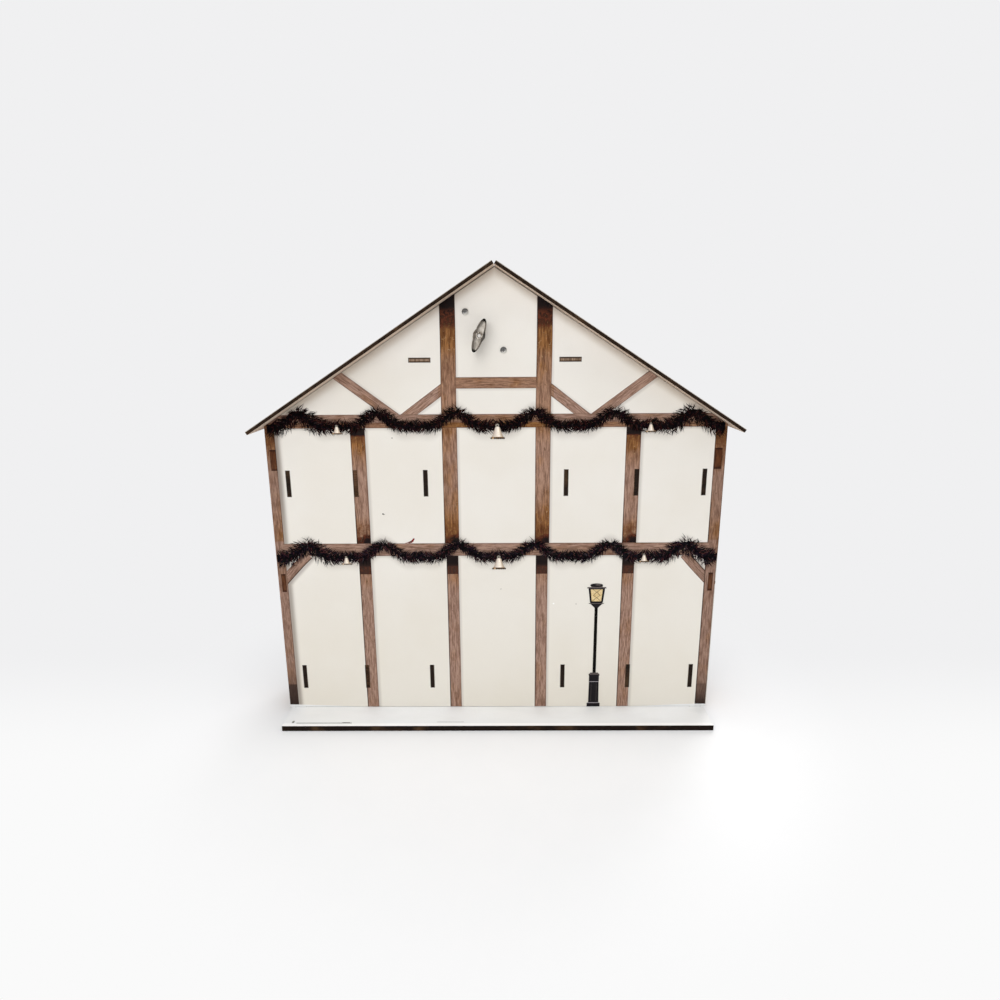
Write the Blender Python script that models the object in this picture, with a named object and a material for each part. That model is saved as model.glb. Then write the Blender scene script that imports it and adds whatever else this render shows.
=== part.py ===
# Musical advent calendar: a half-timbered house of laser-cut board with 24 little doors.
# A wound cylinder movement sits in its attic and is wound by a key on the back.
# Metres, +Z up. The back with the key faces -Y, the doors face +Y, the base rests on z = 0.
import math

import bmesh
import bpy
from mathutils import Matrix, Vector

# Board, joints and gaps
board = 0.003
base_thickness = 0.005
glue_gap = 0.0003
joint_gap = 0.0003
weld_distance = 0.000003
facet_step = math.radians(30)

# House front and back, heights counted from the top of the base
panel_width = 0.390
eave_height = 0.2654
gable_rise = 0.1263
house_depth = 0.060

# Base and roof
base_inset = 0.002
base_margin = 0.031
foot_tab_length = 0.010
roof_overhang = 0.017
eave_overhang = 0.0082
ridge_notch = 0.0002

# Uprights, shelves and their tabs: the dividers share out the width between the side walls
upright_drop = 0.0184
upright_tab_height = 0.0317
upright_tab_length = 0.0226
wall_inset = 0.0165
inner_divider_share = 0.33782
outer_divider_share = 0.67507
shelf_tab_length = 0.024
rows = 5
house_door_rows = 2

# Attic deck under the movement, clear of it and of the roof
deck_clearance = 0.0017
deck_margin = 0.0067
deck_tab_x = 0.062
deck_tab_length = 0.0175

# Doors
door_gap = 0.0005
pin_radius = 0.0008
pin_depth = 0.0012
pin_clearance = 0.0002
pin_sides = 8
knob_inset = 0.0075
knob_radius = 0.0030
knob_neck_radius = 0.0014
knob_reach = 0.0070
knob_sides = 8

# Winding key and arbor: the key stands beside the middle, at a share of the gable's rise
key_x = -0.0123
key_rise_share = 0.57482
key_length = 0.0275
key_width = 0.0078
key_wall = 0.0011
key_depth = 0.0090
key_floor = 0.0012
key_stand_off = 0.0062
key_boss_radius = 0.0050
key_tube_radius = 0.0029
key_tube_rise = 0.0030
key_lean = math.radians(20)
key_points = 40
arbor_radius = 0.0015
arbor_clearance = 0.0003
arbor_sides = 12
panel_key_hole_radius = 0.0030

# Movement: bedplate, screws and bearings
bedplate_left = 0.018
bedplate_right = 0.038
bedplate_below = 0.016
bedplate_above = 0.023
bedplate_thickness = 0.0018
bedplate_corner = 0.003
screw_radius = 0.0012
screw_head_radius = 0.00275
screw_head_height = 0.0018
screw_length = 0.009
screw_clearance = 0.0003
screw_offsets = {"upper": (-0.0114, 0.0187), "lower": (0.0194, -0.0116)}
bearing_thickness = 0.0012
bearing_half_width = 0.0026
bearing_rise = 0.0024

# Straight-flanked teeth: width at the root and tip against the width on the pitch circle
tooth_root_share = 1.25
tooth_tip_share = 0.8

# Spring housing, mainspring and great wheel
housing_radius = 0.0122
housing_wall = 0.0007
housing_height = 0.0086
spring_turns = 5
spring_strip = 0.00035
spring_width = 0.0058
spring_inner_radius = 0.0026
spring_points_a_turn = 14
crown_teeth = 40
crown_outer_radius = 0.0125
crown_inner_radius = 0.0106
crown_web = 0.0009
crown_tooth_height = 0.0010

# Cylinder, its gears and the comb
pinion_teeth = 10
pinion_addendum = 0.00045
pinion_dedendum = 0.00060
pinion_tooth_share = 0.22
pinion_width = 0.0014
crown_mesh_depth = 0.0006
cylinder_radius = 0.0065
cylinder_length = 0.0130
cylinder_pin_height = 0.0006
cylinder_steps = 24
cylinder_shaft_radius = 0.0009
notes = 18
tune_column_stride = 7
tune_step_stride = 5
tune_spacing = 17
pin_inset_share = 0.25
wheel_teeth = 36
wheel_pitch_radius = 0.0072
wheel_width = 0.0010
wheel_addendum = 0.00035
wheel_dedendum = 0.00050
wheel_tooth_share = 0.34
comb_gap = 0.0003
comb_thickness = 0.0009
comb_reach = 0.0145
comb_root_share = 0.36
comb_slit_share = 0.34
comb_treble_share = 0.35
comb_block_depth = 0.0055

# Governor
idler_teeth = 10
idler_pitch_radius = 0.0020
idler_centre_slack = 0.00015
idler_shaft_radius = 0.0006
worm_wheel_teeth = 14
worm_wheel_pitch_radius = 0.0035
worm_wheel_width = 0.0010
worm_wheel_addendum = 0.0003
worm_wheel_dedendum = 0.0006
worm_core_radius = 0.0008
worm_thread_radius = 0.0015
worm_thread_thickness = 0.0004
worm_thread_turns = 4
worm_steps_a_turn = 12
worm_mesh_depth = 0.0004
worm_root_share = 0.8
worm_foot_share = 1.6
worm_shaft_radius = 0.0005
fly_radius = 0.0033
fly_height = 0.0026
fly_thickness = 0.0005
fly_hub_radius = 0.0012
governor_plate = 0.0010

# Worked out from the sizes above
base_top = base_thickness
half_depth = house_depth / 2
back_face = -half_depth
front_face = half_depth
back_inner = back_face + board
front_inner = front_face - board
half_board = board / 2
base_width = panel_width - 2 * base_inset
ridge_height = eave_height + gable_rise
roof_pitch = math.atan2(gable_rise, panel_width / 2)
roof_half_span = panel_width / 2 + eave_overhang
side_wall_x = panel_width / 2 - wall_inset
inner_divider_x = side_wall_x * inner_divider_share
outer_divider_x = side_wall_x * outer_divider_share
foot_tab_x = side_wall_x + half_board + foot_tab_length / 2
upright_height = eave_height - upright_drop
clear_half_width = side_wall_x - half_board
lap_y = (back_inner + front_face) / 2
cell_height = (upright_height - (rows - 1) * board) / rows
uprights_bottom = base_top + glue_gap
uprights_top = base_top + upright_height
divider_xs = (-outer_divider_x, -inner_divider_x, inner_divider_x, outer_divider_x)
bay_walls = (-side_wall_x, *divider_xs, side_wall_x)
pin_y = front_face - half_board
upright_tabs = (upright_tab_height, upright_height - upright_tab_height)

# Movement places: the movement stands on the back panel's inner face and rises towards +Y
key_height = eave_height + gable_rise * key_rise_share
movement_z = base_top + key_height
deck_height = key_height - bedplate_below - half_board - deck_clearance
deck_top = deck_height + half_board
deck_half_width = panel_width / 2 * (ridge_height - deck_top) / gable_rise - deck_margin
bedplate_y = back_inner + glue_gap
bedplate_top = bedplate_y + bedplate_thickness
crown_bottom = bedplate_top + housing_height + 2 * glue_gap
crown_top = crown_bottom + crown_web + crown_tooth_height
crown_radius = (crown_outer_radius + crown_inner_radius) / 2
pinion_pitch_radius = crown_radius * pinion_teeth / crown_teeth
pinion_tip_radius = pinion_pitch_radius + pinion_addendum
shaft_y = crown_top + pinion_tip_radius - crown_mesh_depth
pinion_x = key_x + crown_radius
left_bearing_x = key_x + crown_outer_radius + bearing_thickness / 2 + 2 * glue_gap
cylinder_x = left_bearing_x + bearing_thickness / 2 + 2 * glue_gap + cylinder_length / 2
wheel_x = cylinder_x + cylinder_length / 2 + 2 * glue_gap + wheel_width / 2
right_bearing_x = wheel_x + wheel_width / 2 + 2 * glue_gap + bearing_thickness / 2
worm_wheel_x = right_bearing_x + bearing_thickness / 2 + worm_thread_radius + glue_gap
end_plate_x = worm_wheel_x + worm_thread_radius + governor_plate / 2 + glue_gap
idler_z = movement_z - wheel_pitch_radius - idler_pitch_radius - idler_centre_slack
worm_pitch = 2 * math.pi * worm_wheel_pitch_radius / worm_wheel_teeth
worm_z = idler_z + worm_wheel_pitch_radius + worm_wheel_addendum - worm_mesh_depth + worm_thread_radius
fly_y = shaft_y + worm_thread_turns / 2 * worm_pitch + fly_height / 2 + 2 * glue_gap
arm_y = fly_y + fly_height / 2 + governor_plate / 2 + 2 * glue_gap


def principled(name, srgb, roughness, metallic=0.0):
    """A plain material; srgb is the colour as seen, 0 to 255."""
    material = bpy.data.materials.new(name)
    material.use_nodes = True
    shader = material.node_tree.nodes["Principled BSDF"]
    linear = [((value / 255 + 0.055) / 1.055) ** 2.4 for value in srgb]
    shader.inputs["Base Color"].default_value = (*linear, 1.0)
    shader.inputs["Roughness"].default_value = roughness
    shader.inputs["Metallic"].default_value = metallic
    material.diffuse_color = (*linear, 1.0)
    return material


def place(obj, material, location=(0, 0, 0), rotation=None):
    """Link an object with its material at its place."""
    bpy.context.scene.collection.objects.link(obj)
    if not obj.data.materials:
        obj.data.materials.append(material)
    obj.location = location
    if rotation is not None:
        obj.rotation_euler = rotation
    return obj


# Turns that lay a shape's own z axis along +Y or +X
along_y = (-math.pi / 2, 0, 0)
along_x = (0, math.pi / 2, 0)
# Turns that stand a flat outline up: its x and y become X and Z, or Y and Z
facing_back = (math.pi / 2, 0, 0)
facing_side = (math.pi / 2, 0, math.pi / 2)


def rectangle(x0, y0, x1, y1):
    return [(x0, y0), (x1, y0), (x1, y1), (x0, y1)]


def box_around(x, y, width, height):
    return rectangle(x - width / 2, y - height / 2, x + width / 2, y + height / 2)


def circle(x, y, radius, sides):
    turns = [2 * math.pi * (i + 0.5) / sides for i in range(sides)]
    return [(x + radius * math.cos(t), y + radius * math.sin(t)) for t in turns]


def stepped_edge(start, end, steps):
    """Points from start up to, not including, end, with tabs (positive) and notches (negative)."""
    start, end = Vector(start), Vector(end)
    along = (end - start).normalized()
    outward = Vector((along.y, -along.x))
    points = [start]
    for near, far, height in sorted(steps):
        points.append(start + along * near)
        points.append(start + along * near + outward * height)
        points.append(start + along * far + outward * height)
        points.append(start + along * far)
    return [tuple(point) for point in points]


def stepped_outline(corners, steps=None):
    """An outline through anticlockwise corners; steps maps an edge's number to its tabs and notches."""
    steps = steps or {}
    points = []
    for i, corner in enumerate(corners):
        points += stepped_edge(corner, corners[(i + 1) % len(corners)], steps.get(i, ()))
    return points


def spans(centres, width, height):
    return [(centre - width / 2, centre + width / 2, height) for centre in centres]


def sheet_data(name, outline, holes, thickness):
    """A flat cut sheet: an outline with holes, extruded both ways from its middle plane."""
    curve = bpy.data.curves.new(name, "CURVE")
    curve.dimensions = "2D"
    curve.fill_mode = "BOTH"
    curve.extrude = thickness / 2
    for loop in (outline, *holes):
        spline = curve.splines.new("POLY")
        spline.points.add(len(loop) - 1)
        spline.use_cyclic_u = True
        for point, (x, y) in zip(spline.points, loop):
            point.co = (x, y, 0, 1)
    return curve


def sheet(name, outline, holes, thickness, material, location, rotation=None):
    obj = bpy.data.objects.new(name, sheet_data(name, outline, holes, thickness))
    return place(obj, material, location, rotation)


def finished_mesh(name, mesh_maker):
    """Run a bmesh maker, close its seams and point its faces outwards."""
    work = bmesh.new()
    mesh_maker(work)
    bmesh.ops.remove_doubles(work, verts=work.verts, dist=weld_distance)
    bmesh.ops.recalc_face_normals(work, faces=work.faces)
    mesh = bpy.data.meshes.new(name)
    work.to_mesh(mesh)
    work.free()
    return mesh


def turned_mesh(name, profile, sides):
    """A turned piece about its own z: profile holds (radius, height) pairs."""

    def maker(work):
        verts = [work.verts.new((radius, 0, height)) for radius, height in profile]
        edges = [work.edges.new(pair) for pair in zip(verts, verts[1:])]
        if profile[0][0] > 0:
            edges.append(work.edges.new((verts[-1], verts[0])))
        bmesh.ops.spin(
            work, geom=verts + edges, cent=(0, 0, 0), axis=(0, 0, 1), dvec=(0, 0, 0),
            angle=2 * math.pi, steps=sides, use_merge=True, use_duplicate=False,
        )

    mesh = finished_mesh(name, maker)
    mesh.shade_smooth()
    mesh.set_sharp_from_angle(angle=facet_step)
    return mesh


def ring_profile(inner, outer, low, high):
    return [(inner, low), (outer, low), (outer, high), (inner, high)]


def rod_profile(radius, low, high):
    return [(0, low), (radius, low), (radius, high), (0, high)]


def helper(name, data, matrix=None):
    """A hidden shape that a Boolean uses."""
    obj = bpy.data.objects.new(name, data)
    bpy.context.scene.collection.objects.link(obj)
    if matrix is not None:
        obj.matrix_world = matrix
    obj.hide_render = True
    obj.display_type = "WIRE"
    return obj


def combined_mesh(name, base, additions=(), cuts=()):
    """The plain mesh of a base joined with additions and cut by cuts; each is (data, matrix)."""
    carrier = helper(name + "_carrier", base[0], base[1])
    tools = []
    for kind, shapes in (("UNION", additions), ("DIFFERENCE", cuts)):
        for data, matrix in shapes:
            tools.append(helper(name + "_tool", data, matrix))
            modifier = carrier.modifiers.new(kind, "BOOLEAN")
            modifier.operation = kind
            modifier.object = tools[-1]
    bpy.context.view_layer.update()
    graph = bpy.context.evaluated_depsgraph_get()
    mesh = bpy.data.meshes.new_from_object(carrier.evaluated_get(graph))
    mesh.transform(base[1])
    mesh.name = name
    mesh.materials.clear()
    for obj in (carrier, *tools):
        bpy.data.objects.remove(obj)
    return mesh


def as_mesh(name, data):
    """A curve's shape as a mesh with its seams closed."""
    obj = helper(name + "_shape", data)
    graph = bpy.context.evaluated_depsgraph_get()
    mesh = bpy.data.meshes.new_from_object(obj.evaluated_get(graph))
    bpy.data.objects.remove(obj)
    work = bmesh.new()
    work.from_mesh(mesh)
    bmesh.ops.remove_doubles(work, verts=work.verts, dist=weld_distance)
    bmesh.ops.recalc_face_normals(work, faces=work.faces)
    work.to_mesh(mesh)
    work.free()
    return mesh


def clear_scene():
    for obj in list(bpy.data.objects):
        bpy.data.objects.remove(obj)


def cell_bottom(row):
    """Lowest height of a row's cell, rows counted from the ground."""
    return base_top + row * (cell_height + board)


def shelf_middle(level):
    """Middle height of the shelf above the first level rows."""
    return cell_bottom(level) - half_board


def hinge_x(bay):
    """The pin axis of the doors in a bay, at the bay's +X side."""
    return bay_walls[bay + 1] - half_board - door_gap - half_board


def pin_holes(bays):
    return [circle(hinge_x(bay), pin_y, pin_radius + pin_clearance, pin_sides) for bay in bays]


def gable_corners(low):
    """The house outline, anticlockwise from its bottom left corner, closed by the two roof slopes."""
    drop = glue_gap / math.cos(roof_pitch)
    half = panel_width / 2
    eave = base_top + eave_height - drop
    ridge = base_top + ridge_height - drop
    return [(-half, low), (half, low), (half, eave), (0, ridge), (-half, eave)]


def build_base(material):
    width = base_width
    depth = house_depth + 2 * base_margin
    slots = []
    for x in (-foot_tab_x, foot_tab_x):
        for y in (back_face + half_board, front_face - half_board):
            slots.append(box_around(x, y, foot_tab_length + 2 * joint_gap, board + 2 * joint_gap))
    outline = box_around(0, 0, width, depth)
    holes = slots + pin_holes(range(len(bay_walls) - 1))
    sheet("base_board", outline, holes, base_thickness, material, (0, 0, base_thickness / 2))


def build_back_panel(material):
    corners = gable_corners(base_top + glue_gap)
    half = panel_width / 2
    feet = spans((half - foot_tab_x, half + foot_tab_x), foot_tab_length, base_thickness)
    outline = stepped_outline(corners, {0: feet})
    holes = []
    for x in bay_walls:
        for height in upright_tabs:
            slot_width = board + 2 * joint_gap
            slot_length = upright_tab_length + 2 * joint_gap
            holes.append(box_around(x, base_top + height, slot_width, slot_length))
    holes += deck_slots()
    holes.append(circle(key_x, movement_z, panel_key_hole_radius, arbor_sides))
    for x, z in screw_places().values():
        holes.append(circle(x, z, screw_radius + screw_clearance, pin_sides))
    y = back_face + half_board
    sheet("back_panel", outline, holes, board, material, (0, y, 0), facing_back)


def deck_slots():
    length = deck_tab_length + 2 * joint_gap
    width = board + 2 * joint_gap
    return [box_around(x, base_top + deck_height, length, width) for x in (-deck_tab_x, deck_tab_x)]


def screw_places():
    return {side: (key_x + x, movement_z + z) for side, (x, z) in screw_offsets.items()}


def build_front_frame(material):
    low = base_top + glue_gap
    top = uprights_top + glue_gap + board + glue_gap
    half = panel_width / 2
    legs = [(-half, low), (-clear_half_width, low), (-clear_half_width, top)]
    legs += [(clear_half_width, top), (clear_half_width, low)]
    corners = legs + gable_corners(low)[1:]
    leg_middle = half - foot_tab_x
    leg_width = half - clear_half_width
    foot = spans((leg_middle,), foot_tab_length, base_thickness)
    other_foot = spans((leg_width - leg_middle,), foot_tab_length, base_thickness)
    outline = stepped_outline(corners, {0: foot, 4: other_foot})
    y = front_face - half_board
    sheet("front_frame", outline, deck_slots(), board, material, (0, y, 0), facing_back)


def build_roof(material):
    """Two boards whose lower corners meet over the ridge and leave a small notch above."""
    length = roof_half_span / math.cos(roof_pitch)
    depth = house_depth + 2 * roof_overhang
    for name, side in (("roof_left", -1), ("roof_right", 1)):
        reach = sorted((side * ridge_notch, side * length))
        outline = rectangle(reach[0], -depth / 2, reach[1], depth / 2)
        lift = Vector((side * math.sin(roof_pitch), 0, math.cos(roof_pitch))) * half_board
        ridge = Vector((0, 0, base_top + ridge_height))
        sheet(name, outline, [], board, material, ridge + lift, (0, side * roof_pitch, 0))


def build_side_walls(material):
    """Outer uprights with tabs into the back panel and slots for the shelves' tabs."""
    corners = rectangle(back_inner + glue_gap, uprights_bottom, front_inner - glue_gap, uprights_top)
    outline = stepped_outline(corners, {3: back_tabs()})
    slot_length = shelf_tab_length + 2 * joint_gap
    slot_width = board + 2 * joint_gap
    slots = [box_around(0, shelf_middle(level), slot_length, slot_width) for level in range(1, rows)]
    for name, x in (("side_wall_left", -side_wall_x), ("side_wall_right", side_wall_x)):
        sheet(name, outline, slots, board, material, (x, 0, 0), facing_side)


def back_tabs():
    """The two tabs of an upright, measured down its back edge."""
    tops = [uprights_top - base_top - height for height in upright_tabs]
    return spans(tops, upright_tab_length, board)


def build_dividers(material):
    """Uprights with tabs into the back panel and half laps, open to the front, for the shelves."""
    corners = rectangle(back_inner + glue_gap, uprights_bottom, front_face, uprights_top)
    levels = [shelf_middle(level) - uprights_bottom for level in range(1, rows)]
    laps = spans(levels, board + 2 * joint_gap, lap_y - joint_gap / 2 - front_face)
    outline = stepped_outline(corners, {1: laps, 3: back_tabs()})
    for number, x in enumerate(divider_xs, start=1):
        sheet(f"divider_{number}", outline, [], board, material, (x, 0, 0), facing_side)


def build_shelves(material):
    """Shelves with half laps, open to the back, and tabs through the side walls."""
    half = clear_half_width - joint_gap
    low, high = back_inner + glue_gap, front_face
    lap_depth = low - (lap_y + joint_gap / 2)
    tab = spans((-low,), shelf_tab_length, board)
    other_tab = spans((high,), shelf_tab_length, board)
    laps = spans([x + half for x in divider_xs], board + 2 * joint_gap, lap_depth)
    outline = stepped_outline(rectangle(-half, low, half, high), {0: laps, 1: tab, 3: other_tab})
    bays = range(len(bay_walls) - 1)
    for level in range(house_door_rows, rows):
        place_z = (0, 0, shelf_middle(level))
        sheet(f"shelf_{level}", outline, pin_holes(bays), board, material, place_z)
    for level in range(1, house_door_rows):
        build_short_shelves(level, half, low, high, material)


def build_short_shelves(level, half, low, high, material):
    """A shelf on each side of the house door, ending in a tongue in the inner divider."""
    lap_depth = low - (lap_y + joint_gap / 2)
    wall = inner_divider_x + half_board + joint_gap
    tongue = inner_divider_x - half_board
    step_y = lap_y + joint_gap / 2
    tab = spans((-low,), shelf_tab_length, board)
    other_tab = spans((high,), shelf_tab_length, board)
    lap_width = board + 2 * joint_gap
    right_laps = spans((outer_divider_x - wall,), lap_width, lap_depth)
    left_laps = spans((half - outer_divider_x,), lap_width, lap_depth)
    right = [(wall, low), (half, low), (half, high), (tongue, high), (tongue, step_y), (wall, step_y)]
    left = [(-half, low), (-wall, low), (-wall, step_y), (-tongue, step_y), (-tongue, high), (-half, high)]
    sides = (
        ("right", stepped_outline(right, {0: right_laps, 1: tab}), (3, 4)),
        ("left", stepped_outline(left, {0: left_laps, 5: other_tab}), (0, 1)),
    )
    for side, outline, bays in sides:
        place_z = (0, 0, shelf_middle(level))
        sheet(f"shelf_{level}_{side}", outline, pin_holes(bays), board, material, place_z)


def build_loft_floor(material):
    """The board over the top row: full width behind the front frame, narrower inside its opening."""
    wide = side_wall_x + half_board
    narrow = clear_half_width - joint_gap
    low, step, high = back_inner + glue_gap, front_inner - glue_gap, front_face
    outline = [(-wide, low), (wide, low), (wide, step), (narrow, step)]
    outline += [(narrow, high), (-narrow, high), (-narrow, step), (-wide, step)]
    bays = range(len(bay_walls) - 1)
    z = uprights_top + glue_gap + half_board
    sheet("loft_floor", outline, pin_holes(bays), board, material, (0, 0, z))


def build_attic_deck(material):
    """A deck across the attic, tabbed into the front and back gables."""
    half = deck_half_width
    corners = rectangle(-half, back_inner + glue_gap, half, front_inner - glue_gap)
    tabs = spans((half - deck_tab_x, half + deck_tab_x), deck_tab_length, board)
    outline = stepped_outline(corners, {0: tabs, 2: tabs})
    sheet("attic_deck", outline, [], board, material, (0, 0, base_top + deck_height))


def knob_profile():
    """A small turned pull, from inside the door to its round end."""
    ball_middle = knob_reach - knob_radius
    profile = [(0, -half_board), (knob_neck_radius, -half_board)]
    arc_steps = 4
    start = math.asin(knob_neck_radius / knob_radius)
    for i in range(arc_steps):
        turn = start + (math.pi - start) * i / arc_steps
        profile.append((knob_radius * math.sin(turn), ball_middle - knob_radius * math.cos(turn)))
    profile.append((0, knob_reach))
    return profile


def door_mesh(name, width, height):
    """A leaf on its own pivot pins: the front of its hinge edge is round, the back corner stays square."""
    quarter_steps = 3
    outline = [(half_board, -half_board)]
    for i in range(quarter_steps + 1):
        turn = math.pi / 2 * i / quarter_steps
        outline.append((half_board * math.cos(turn), half_board * math.sin(turn)))
    free_edge = half_board - width
    outline += [(free_edge, half_board), (free_edge, -half_board)]
    leaf = as_mesh(name + "_leaf", sheet_data(name, outline, [], height))
    reach = height / 2 + door_gap + pin_depth
    rooted = height / 2 - pin_depth
    upper_pin = turned_mesh(name + "_pin", rod_profile(pin_radius, rooted, reach), pin_sides)
    lower_pin = turned_mesh(name + "_pin", rod_profile(pin_radius, -reach, -rooted), pin_sides)
    knob = turned_mesh(name + "_knob", knob_profile(), knob_sides)
    knob_place = Vector((free_edge + knob_inset, half_board, 0))
    knob_matrix = Matrix.Translation(knob_place) @ Matrix.Rotation(along_y[0], 4, "X")
    level = Matrix.Identity(4)
    return combined_mesh(name, (leaf, level), [(upper_pin, level), (lower_pin, level), (knob, knob_matrix)])


def door_places():
    """Every door's bay, lowest row and number of rows, in the order of their numbers."""
    bays = range(len(bay_walls) - 1)
    middle_bay = len(bays) // 2
    places = []
    for row in reversed(range(rows)):
        for bay in reversed(bays):
            if row >= house_door_rows or bay != middle_bay:
                places.append((bay, row, 1))
    places.append((middle_bay, 0, house_door_rows))
    return places


def build_doors(material):
    meshes = {}
    for number, (bay, row, tall) in enumerate(door_places(), start=1):
        width = bay_walls[bay + 1] - bay_walls[bay] - board - 2 * door_gap
        opening = tall * cell_height + (tall - 1) * board
        height = opening - 2 * door_gap
        kind = (round(width / glue_gap), tall)
        if kind not in meshes:
            meshes[kind] = door_mesh(f"door_leaf_{len(meshes)}", width, height)
        middle = (hinge_x(bay), pin_y, cell_bottom(row) + opening / 2)
        place(bpy.data.objects.new(f"door_{number:02d}", meshes[kind]), material, middle)


def key_outline(wall, boss_radius):
    """An oval whose middle swells to the boss round the tube."""
    points = []
    for i in range(key_points):
        turn = 2 * math.pi * i / key_points
        x = (key_length / 2 - wall) * math.cos(turn)
        y = (key_width / 2 - wall) * math.sin(turn)
        swell = max(1, boss_radius / math.hypot(x, y))
        points.append((x * swell, y * swell))
    return points


def build_key(material):
    """A pressed wing key: an open oval shell round a tapped tube."""
    bore = circle(0, 0, arbor_radius + arbor_clearance, arbor_sides)
    hollow = key_outline(key_wall, 0)
    shell_data = sheet_data("key_shell", key_outline(0, key_boss_radius), [hollow], key_depth)
    floor_data = sheet_data("key_floor", key_outline(key_wall / 2, 0), [bore], key_floor)
    tube_low = key_floor - key_depth / 2
    tube_profile = ring_profile(arbor_radius + arbor_clearance, key_tube_radius, tube_low, key_tube_rise)
    tube = turned_mesh("key_tube", tube_profile, arbor_sides)
    inward = key_depth / 2 - key_floor
    flipped = Matrix.Rotation(math.pi, 4, "X")
    mesh = combined_mesh(
        "key_body",
        (as_mesh("key_shell", shell_data), Matrix.Identity(4)),
        [
            (as_mesh("key_floor", floor_data), Matrix.Translation((0, 0, inward))),
            (tube, flipped),
        ],
    )
    y = back_face - key_stand_off - key_depth / 2
    obj = bpy.data.objects.new("winding_key", mesh)
    place(obj, material, (key_x, y, movement_z), (along_y[0], key_lean - math.pi / 2, 0))


def build_arbor(material):
    outer_end = back_face - key_stand_off - key_depth / 2
    inner_end = crown_top
    length = inner_end - outer_end
    mesh = turned_mesh("winding_arbor", rod_profile(arbor_radius, 0, length), arbor_sides)
    obj = bpy.data.objects.new("winding_arbor", mesh)
    place(obj, material, (key_x, outer_end, movement_z), along_y)


def gear_outline(teeth, root_radius, tip_radius, pitch_radius, tooth_share, phase=0.0):
    """Straight-flanked teeth: each stands half a pitch from the next and narrows to its tip."""
    pitch = 2 * math.pi / teeth
    points = []
    for i in range(teeth):
        middle = phase + i * pitch
        pitch_half = pitch * tooth_share / 2 * pitch_radius
        root_half = pitch_half * tooth_root_share / root_radius
        tip_half = pitch_half * tooth_tip_share / tip_radius
        points.append((root_radius, middle - root_half))
        points.append((tip_radius, middle - tip_half))
        points.append((tip_radius, middle + tip_half))
        points.append((root_radius, middle + root_half))
    return [(radius * math.cos(turn), radius * math.sin(turn)) for radius, turn in points]


def gear_mesh(name, outline, width):
    return as_mesh(name, sheet_data(name, outline, [], width))


def build_great_wheel(material):
    """A crown wheel: its teeth stand on the rim, towards +Y, beside the cylinder's pinion."""
    steps = 2 * crown_teeth
    bore = arbor_radius + arbor_clearance

    def maker(work):
        outline = [(bore, 0), (crown_outer_radius, 0)]
        outline += [(crown_outer_radius, crown_web), (crown_inner_radius, crown_web)]
        rings = []
        for i in range(steps):
            turn = 2 * math.pi * (i + 0.5) / steps
            rings.append([
                work.verts.new((radius * math.cos(turn), radius * math.sin(turn), height))
                for radius, height in outline
            ])
        rim_faces = []
        for i in range(steps):
            here, after = rings[i], rings[(i + 1) % steps]
            for j in range(len(outline)):
                k = (j + 1) % len(outline)
                face = work.faces.new((here[j], after[j], after[k], here[k]))
                if outline[j] == (crown_outer_radius, crown_web) and i % 2 == 0:
                    rim_faces.append(face)
        bmesh.ops.recalc_face_normals(work, faces=work.faces)
        grown = bmesh.ops.extrude_discrete_faces(work, faces=rim_faces)
        for face in grown["faces"]:
            bmesh.ops.translate(work, verts=face.verts, vec=(0, 0, crown_tooth_height))

    mesh = finished_mesh("great_wheel", maker)
    obj = bpy.data.objects.new("great_wheel", mesh)
    place(obj, material, (key_x, crown_bottom, movement_z), along_y)


def build_bedplate(material):
    """A flat bedplate with rounded corners, held to the back panel by two screws."""
    left, right = key_x - bedplate_left, key_x + bedplate_right
    low, high = movement_z - bedplate_below, movement_z + bedplate_above
    corner = bedplate_corner
    outline = []
    arc_steps = 3
    middles = ((right - corner, high - corner), (left + corner, high - corner),
               (left + corner, low + corner), (right - corner, low + corner))
    for quarter, (x, z) in enumerate(middles):
        for i in range(arc_steps + 1):
            turn = math.pi / 2 * (quarter + i / arc_steps)
            outline.append((x + corner * math.cos(turn), z + corner * math.sin(turn)))
    holes = [circle(key_x, movement_z, arbor_radius + arbor_clearance, arbor_sides)]
    holes += [circle(x, z, screw_radius + screw_clearance, pin_sides) for x, z in screw_places().values()]
    holes.append(circle(worm_wheel_x, worm_z, worm_shaft_radius + arbor_clearance, pin_sides))
    y = bedplate_y + bedplate_thickness / 2
    sheet("movement_bedplate", outline, holes, bedplate_thickness, material, (0, y, 0), facing_back)


def build_screws(material):
    """Dome-headed screws from outside, through the back panel and the bedplate."""
    dome_steps = 4
    profile = [(0, screw_length), (screw_radius, screw_length), (screw_radius, 0), (screw_head_radius, 0)]
    for i in range(1, dome_steps + 1):
        turn = math.pi / 2 * i / dome_steps
        profile.append((screw_head_radius * math.cos(turn), -screw_head_height * math.sin(turn)))
    profile[-1] = (0, -screw_head_height)
    mesh = turned_mesh("movement_screw", profile, arbor_sides)
    for side, (x, z) in screw_places().items():
        name = f"movement_screw_{side}"
        place(bpy.data.objects.new(name, mesh), material, (x, back_face - glue_gap, z), along_y)


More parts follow.
